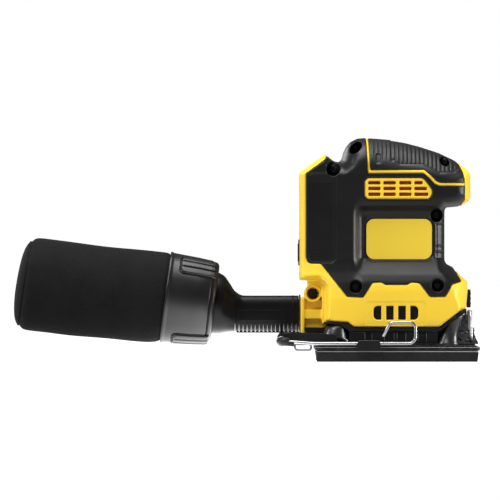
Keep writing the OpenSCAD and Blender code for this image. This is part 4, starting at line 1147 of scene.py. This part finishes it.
# a smooth runner under the tube, and grip ribs round its underside
b.box(-106.6, -65.7, -6.5, 6.5, 18.95, 20.8, r=0.6, seg=3)
# the ribs are their own piece in a lighter copy of the adaptor's plastic, as painted highlight
ribs = Build()
for k in range(16):
    x = -66.9 - 2.72 * k
    s = float(np.interp(-x, [65.2, 94, 101.8, 107.4, 112.2], [0, 0.55, 0.66, 0.75, 0.84]))
    path = [Vector((x, p.y, p.z)) for p in band(s, 118 if k else 124, 242, 0.05)]
    rad = [0.66 * min(1, 0.35 + 2.2 * min(i, len(path) - 1 - i) / len(path) * 3) for i in range(len(path))]
    ribs.tube(path, rad, 8)
ribs.done("adaptor_ribs", M["ribs"], "adaptor", [], "adaptor_black", sharp=50, weighted=False)
# a plain framed field on each side, and two bands round the tube
for s in (-1, 1):
    y = s * 11.75
    frame = round_rect(-103.6, -73.2, 27.1, 34.0, 0.8, 3)
    path = [Vector((x, y, z)) for x, z in frame] + [Vector((frame[0][0], y, frame[0][1]))]
    b.tube(path, 0.38, 6, ends=False)
for x in (-69.0, -107.0):
    s = float(np.interp(-x, [65.2, 94, 101.8, 107.4, 112.2], [0, 0.55, 0.66, 0.75, 0.84]))
    b.tube([Vector((x, p.y, p.z)) for p in band(s, 0, 360, 0.02, 64)], 0.36, 6, ends=False)
b.done("adaptor_body", M["adaptor"], "adaptor", ["dust_adaptor"], "adaptor_black", sharp=50, weighted=False)
Build().lathe([(10.0, -65.0), (12.5, -65.0), (12.6, -64.8), (12.6, -64.1), (12.4, -63.95), (10.0, -63.95)], 48, axis=frame_at((0, 0, 31.8), (1, 0, 0), (0, 0, 1))).done(
    "port_seal", M["rubber"], "housing", ["port_gasket"], "soft_rubber")

# ---------------------------------------------------------------- collar and bag

b = Build()
b.place = LOCAL
outer_profile = [(21.1, 0.5), (21.4, 0.25), (23.6, 0.15), (25.2, 0.35), (26.3, 0.9), (27.0, 1.7), (27.3, 2.6), (26.9, 3.1), (26.9, 3.6), (27.5, 4.1), (28.0, 4.9),
                 (28.9, 14.0), (29.9, 30.2), (30.1, 31.6), (30.5, 32.0), (30.55, 33.1), (30.3, 33.5)]
inner_profile = [(29.2, 33.5), (28.7, 32.8), (25.2, 4.9), (24.6, 4.2), (21.2, 4.1), (21.0, 3.8)]
b.lathe(outer_profile + inner_profile, 144)


def on_cone(a, h, lift):
    r = float(np.interp(h, [0.3, 1.7, 4.9, 14.0, 30.2], [26.4, 27.4, 28.0, 28.9, 29.9])) + lift
    return (r * math.cos(a), r * math.sin(a), h)


PADS = (-37.5, 80.0, 201.0)
HALF = math.radians(16.0)
H0, H1 = 1.5, 25.6
for centre in PADS:
    c0 = math.radians(centre)
    # a raised pad with two long grooves, so three flat ridges
    hs = np.linspace(H0, H1, 34)
    ts = np.linspace(-1, 1, 61)
    grid = []
    for h in hs:
        eh = min(h - H0 + 0.4, H1 - h)
        row = []
        for t in ts:
            et = (1 - abs(t)) * 8.2
            er = H1 - h
            e = 3.2 - math.hypot(3.2 - et, 3.2 - er) if et < 3.2 and er < 3.2 else min(eh, et)
            e = min(e, eh)
            lift = 1.35 * float(step(-0.1, 0.9, np.float32(e)))
            dent = 0.85 * sum(math.exp(-((((t * 8.2) - g) / 0.62) ** 2)) for g in (-2.8, 2.8)) * float(step(1.0, 2.0, np.float32(H1 - h)))
            row.append(on_cone(c0 + t * HALF, h, -0.25 + lift - dent))
        grid.append(row)
    nh, nt = len(hs), len(ts)
    verts = [p for row in grid for p in row]
    faces = [(i * nt + j, i * nt + j + 1, (i + 1) * nt + j + 1, (i + 1) * nt + j) for i in range(nh - 1) for j in range(nt - 1)]
    base = len(verts)
    under = [on_cone(c0 + t * HALF, h, -1.2) for h in hs for t in ts]
    verts += under
    faces += [(base + f[3], base + f[2], base + f[1], base + f[0]) for f in faces]
    rim = [j for j in range(nt)] + [i * nt + nt - 1 for i in range(1, nh)] + [(nh - 1) * nt + j for j in range(nt - 2, -1, -1)] + [i * nt for i in range(nh - 2, 0, -1)]
    for k in range(len(rim)):
        p, q = rim[k], rim[(k + 1) % len(rim)]
        faces.append((q, p, base + p, base + q))
    b.add(verts, faces)
b.done("collar", M["collar"], "bag", ["bag_collar"], "collar_grey", sharp=50, weighted=False)

# near-black tubes as painted shade: the dark line that frames each pad, and the shadow gap before the front bead
b = Build()
b.place = LOCAL
for centre in PADS:
    c0 = math.radians(centre)
    k = HALF * 1.055
    turn = [(math.cos(t), math.sin(t)) for t in np.linspace(0, math.pi / 2, 7)]
    path = [on_cone(c0 - k, h, 0.02) for h in np.linspace(4.4, H1 - 3.2, 12)] + [on_cone(c0 - k + (1 - c) * k * 0.36, H1 - 2.7 + 3.2 * q, 0.02) for c, q in turn]
    path += [on_cone(c0 + k * t, H1 + 0.5, 0.02) for t in np.linspace(-0.56, 0.56, 12)]
    path += [on_cone(c0 + k - (1 - c) * k * 0.36, H1 - 2.7 + 3.2 * q, 0.02) for c, q in turn[::-1]] + [on_cone(c0 + k, h, 0.02) for h in np.linspace(H1 - 3.2, 4.4, 12)]
    b.tube(path, 0.5, 6)
b.tube([(27.15 * math.cos(t), 27.15 * math.sin(t), 3.35) for t in np.linspace(0, 2 * math.pi, 97)], 0.42, 6, ends=False)
b.done("collar_lines", M["shadow"], "bag", [], "black_plastic", sharp=60, weighted=False)

b = Build()
b.place = LOCAL
b.lathe([(25.6, 33.7), (26.4, 33.6), (27.0, 33.8), (27.1, 34.2), (27.1, 36.2), (26.8, 36.6), (25.6, 36.4)], 96)
b.done("mouth_ring", M["collar"], "bag", ["bag_mouth_ring"], "collar_grey", weighted=False)

rng = np.random.default_rng(7)
AB = 220


def bag_axis(h):
    """How far the slack bag hangs below the collar's axis, at h along it."""
    return smooth_interp(h, [26, 33.5, 42, 58, 78, 100, 125, 133], [0.0, -0.2, -0.9, -1.7, -2.2, -2.5, -2.5, -3.4])


def bag_radius(h):
    return smooth_interp(h, [26, 31.5, 33.6, 36.0, 42, 58, 78, 100, 117, 121], [27.9, 28.1, 28.9, 29.9, 30.3, 30.55, 30.7, 31.1, 31.2, 31.1])


waves = [(rng.integers(2, 6), rng.uniform(0, 6.28), rng.uniform(0.8, 2.2), rng.uniform(0, 6.28), rng.uniform(0.05, 0.13)) for _ in range(12)]
pleats = [(rng.integers(9, 22), rng.uniform(0, 6.28), rng.uniform(0.02, 0.06)) for _ in range(9)]


def cloth(a, h):
    """Soft unevenness of the cloth, in mm, at angle a and length h."""
    t = (h - 33) / 98
    f = sum(k * np.sin(n * a + p + w * 6.28 * t) * np.sin(3.1 * np.clip(t, 0, 1) ** 0.8 + q * 0.15) for n, p, w, q, k in waves)
    near = np.exp(-np.clip(h - 34, 0, None) / 7.0) + 0.8 * np.exp(-np.clip(124 - h, 0, None) / 6.0)
    f = f + near * sum(k * np.sin(n * a + p) for n, p, k in pleats)
    return f * step(33.4, 39, np.asarray(h, np.float32))


# beyond the body of the bag: its shoulder, the welted seam and a full, soft end panel
END = [(122.4, 30.95), (123.6, 30.65), (124.6, 30.2), (125.4, 29.6), (126.0, 29.0), (126.4, 28.5), (126.75, 28.25), (127.1, 28.35), (127.5, 28.5), (127.95, 28.3),
       (128.35, 27.7), (128.9, 26.9), (129.6, 25.7), (130.3, 24.1), (130.9, 22.2), (131.4, 20.0), (131.85, 17.4), (132.2, 14.4), (132.5, 11.0), (132.7, 7.4), (132.8, 3.6), (132.85, 1.2)]
verts, uvs, faces = [], [], []
rows = [(h, None) for h in np.concatenate([np.linspace(29, 37, 15), np.linspace(38, 121, 92)])] + END
AA = np.arange(AB) * 2 * math.pi / AB
run, last = 0.0, None
for h, r_end in rows:
    r0 = bag_radius(h) if r_end is None else r_end
    if last is not None:
        run += math.hypot(h - last[0], r0 - last[1])
    last = (h, r0)
    keep = 1.0 if r_end is None else max(0.0, r_end / 31.1) ** 2
    r = r0 + cloth(AA, min(h, 124.0)) * keep
    for j, a in enumerate(AA):
        seam = 0.45 * math.exp(-((((a - 2.75 + math.pi) % (2 * math.pi)) - math.pi) * 30 / 1.6) ** 2)
        rr = r[j] + seam * float(step(36, 40, np.float32(h))) * keep
        sag = 0.0 if r_end is None else 0.14 * math.sin(2 * a + 0.4) * (1 - keep)
        longer = (0.7 - 0.026 * rr * math.cos(a)) * float(step(112, 126, np.float32(h)))
        verts.append((rr * math.cos(a) + bag_axis(h), rr * math.sin(a), h + sag + longer))
        uvs.append((a * 30.5, run))
nr = len(rows)
for i in range(nr - 1):
    for j in range(AB):
        q = (j + 1) % AB
        faces.append((i * AB + j, i * AB + q, (i + 1) * AB + q, (i + 1) * AB + j))
verts.append((bag_axis(133), 0, 133.57))
uvs.append((0, run + 1.2))
tip = len(verts) - 1
faces += [((nr - 1) * AB + j, (nr - 1) * AB + (j + 1) % AB, tip) for j in range(AB)]
co = [LOCAL @ Vector(v) * MM for v in verts]
me = bpy.data.meshes.new("bag_cloth")
me.from_pydata(co, [], faces)
uvl = me.uv_layers.new(name="cloth")
loops = np.empty(len(me.loops), np.int32)
me.loops.foreach_get("vertex_index", loops)
U = np.asarray(uvs, np.float32)[loops]
start = np.repeat([p.loop_start for p in me.polygons], [p.loop_total for p in me.polygons])
wrap = U[:, 0] < U[start, 0] - 90
U[wrap, 0] += 2 * math.pi * 30.5
wrap = U[:, 0] > U[start, 0] + 90
U[wrap, 0] -= 2 * math.pi * 30.5
uvl.data.foreach_set("uv", (U / 100.0).ravel())
me.shade_smooth()
bag = put("bag_cloth", me, M["cloth"], "bag", ["dust_bag"])
th = bag.modifiers.new("cloth", "SOLIDIFY")
th.thickness = 0.0009
th.offset = -1

# stitching beside the lengthwise seam
b = Build()
b.place = LOCAL
for k in range(28):
    h = 40 + k * 2.95
    for off in (-0.085, 0.085):
        a = 2.75 + off
        p0, p1 = [((bag_radius(hh) + float(cloth(a, hh)) + 0.10) * math.cos(a) + float(bag_axis(hh)), (bag_radius(hh) + float(cloth(a, hh)) + 0.10) * math.sin(a), hh) for hh in (h, h + 1.9)]
        b.tube([p0, p1], 0.2, 6)
stitches = b.done("bag_stitches", M["thread"], "bag", [], None, sharp=60, weighted=False)

b = Build()
b.place = LOCAL @ Matrix.Translation((-2.5, 0, 0))
b.lathe([(26.6, 121.6), (28.4, 121.4), (29.0, 122.2), (28.6, 123.6), (26.6, 123.4)], 96)
b.done("end_hoop", M["black"], "bag", ["bag_end_ring"], "black_plastic", weighted=False)

# ---------------------------------------------------------------- works inside, as the construction has them

INSIDE = {
    "controller_module": "potting", "switch_body": "black", "speed_control_board": "board", "motor_stator": "lamination",
    "stator_windings": "copper", "upper_bearing": "steel", "lower_bearing": "steel", "motor_shaft": "steel", "motor_rotor": "lamination",
    "cooling_fan": "black", "counterweight": "steel", "eccentric_bearing": "steel", "platen_screws": "steel", "rocker_pin": "steel",
}
for name, key in INSIDE.items():
    o = NODES[name]
    o.data.materials.clear()
    o.data.materials.append(M[key])

# ---------------------------------------------------------------- setting and light


def lit_table():
    """Glowing white table: brightest under the tool, even further out, white to the camera, with a glowing patch under
    the adaptor and collar that only reflections see.
    """
    m = Mat("floor", (0.25, 0.25, 0.25), 0.9, spec=0.1)
    v = m.node("Mapping", i_Vector=m.coord)
    v.inputs["Location"].default_value = (0.03, 0.03, 0)
    v.inputs["Scale"].default_value = (0.32, 1.0, 1.0)
    d = m.node("VectorMath", operation="LENGTH")
    m.t.links.new(v.outputs["Vector"], d.inputs[0])
    near = m.math("EXPONENT", m.math("MULTIPLY", m.math("POWER", m.math("DIVIDE", d.outputs["Value"], NEAR), 2.0), -1.0))
    m.b.inputs["Emission Color"].default_value = (1, 1, 1, 1)
    seen = m.t.nodes.new("ShaderNodeLightPath").outputs["Is Camera Ray"]
    path = m.t.nodes.new("ShaderNodeLightPath")
    sep = m.node("SeparateXYZ", i_Vector=m.coord)
    across = m.math("POWER", m.math("DIVIDE", m.math("ADD", sep.outputs["X"], 0.112), 0.052), 2.0)
    along = m.math("POWER", m.math("DIVIDE", sep.outputs["Y"], 0.12), 2.0)
    patch = m.math("MULTIPLY", m.math("EXPONENT", m.math("MULTIPLY", m.math("ADD", across, along), -1.0)), path.outputs["Is Glossy Ray"])
    base = m.math("ADD", m.math("MULTIPLY", near, GLOW), m.math("MULTIPLY", seen, FAR))
    m.t.links.new(m.math("ADD", base, m.math("MULTIPLY", patch, SHEEN)), m.b.inputs["Emission Strength"])
    return m.m


NEAR, GLOW, FAR, SHEEN = 0.25, 0.7, 1.0, 5.0


def flat_mesh(name, verts, faces, mat):
    me = bpy.data.meshes.new(name)
    me.from_pydata(verts, [], faces)
    o = bpy.data.objects.new(name, me)
    SCENE.collection.objects.link(o)
    o.data.materials.append(mat)
    return o


FLOOR = lit_table()
flat_mesh("floor", [(-14, -14, 0), (14, -14, 0), (14, 14, 0), (-14, 14, 0)], [(0, 1, 2, 3)], FLOOR)

world = bpy.data.worlds.new("studio")
SCENE.world = world
world.use_nodes = True
wt = world.node_tree
wt.nodes["Background"].inputs["Color"].default_value = (1, 1, 1, 1)
seen = wt.nodes.new("ShaderNodeLightPath").outputs["Is Camera Ray"]
amount = wt.nodes.new("ShaderNodeMapRange")
amount.inputs["To Min"].default_value = 0.12
amount.inputs["To Max"].default_value = 1.0
wt.links.new(seen, amount.inputs["Value"])
wt.links.new(amount.outputs["Result"], wt.nodes["Background"].inputs["Strength"])
SCENE.view_settings.view_transform = "Standard"


def lamp(name, at, aim, size, power, size_y=None):
    l = bpy.data.lights.new(name, "AREA")
    l.energy = power
    l.size = size
    if size_y:
        l.shape = "RECTANGLE"
        l.size_y = size_y
    o = bpy.data.objects.new(name, l)
    o.location = at
    o.rotation_euler = (Vector(aim) - Vector(at)).to_track_quat("-Z", "Y").to_euler()
    SCENE.collection.objects.link(o)
    return o


C = Vector((-0.0977, 0, 0.0742))
MID = (-0.08, 0, 0.08)
lamp("overhead", (-0.10, 0.0, 1.5), MID, 1.3, 27, 0.9)
lamp("front_high", (-0.7, -1.25, 1.55), MID, 0.8, 22, 0.7)
lamp("side_right", (1.65, -0.22, 0.30), MID, 0.6, 24, 0.6)
lamp("side_left", (-1.7, -0.35, 0.75), MID, 0.4, 14, 0.6)
lamp("rim_left", (-0.75, 1.5, 0.42), (-0.03, 0, 0.13), 0.6, 2.6, 0.5)

cam = bpy.data.cameras.new("camera")
cam_o = bpy.data.objects.new("camera", cam)
SCENE.collection.objects.link(cam_o)
D = 6.0
cam.sensor_width = 36
cam.lens = 36 * (D - 0.018) / 0.3335
cam.clip_end = 50
cam_o.location = C + Vector((0, -D, 0))
cam_o.rotation_euler = (math.radians(90), 0, 0)
SCENE.camera = cam_o
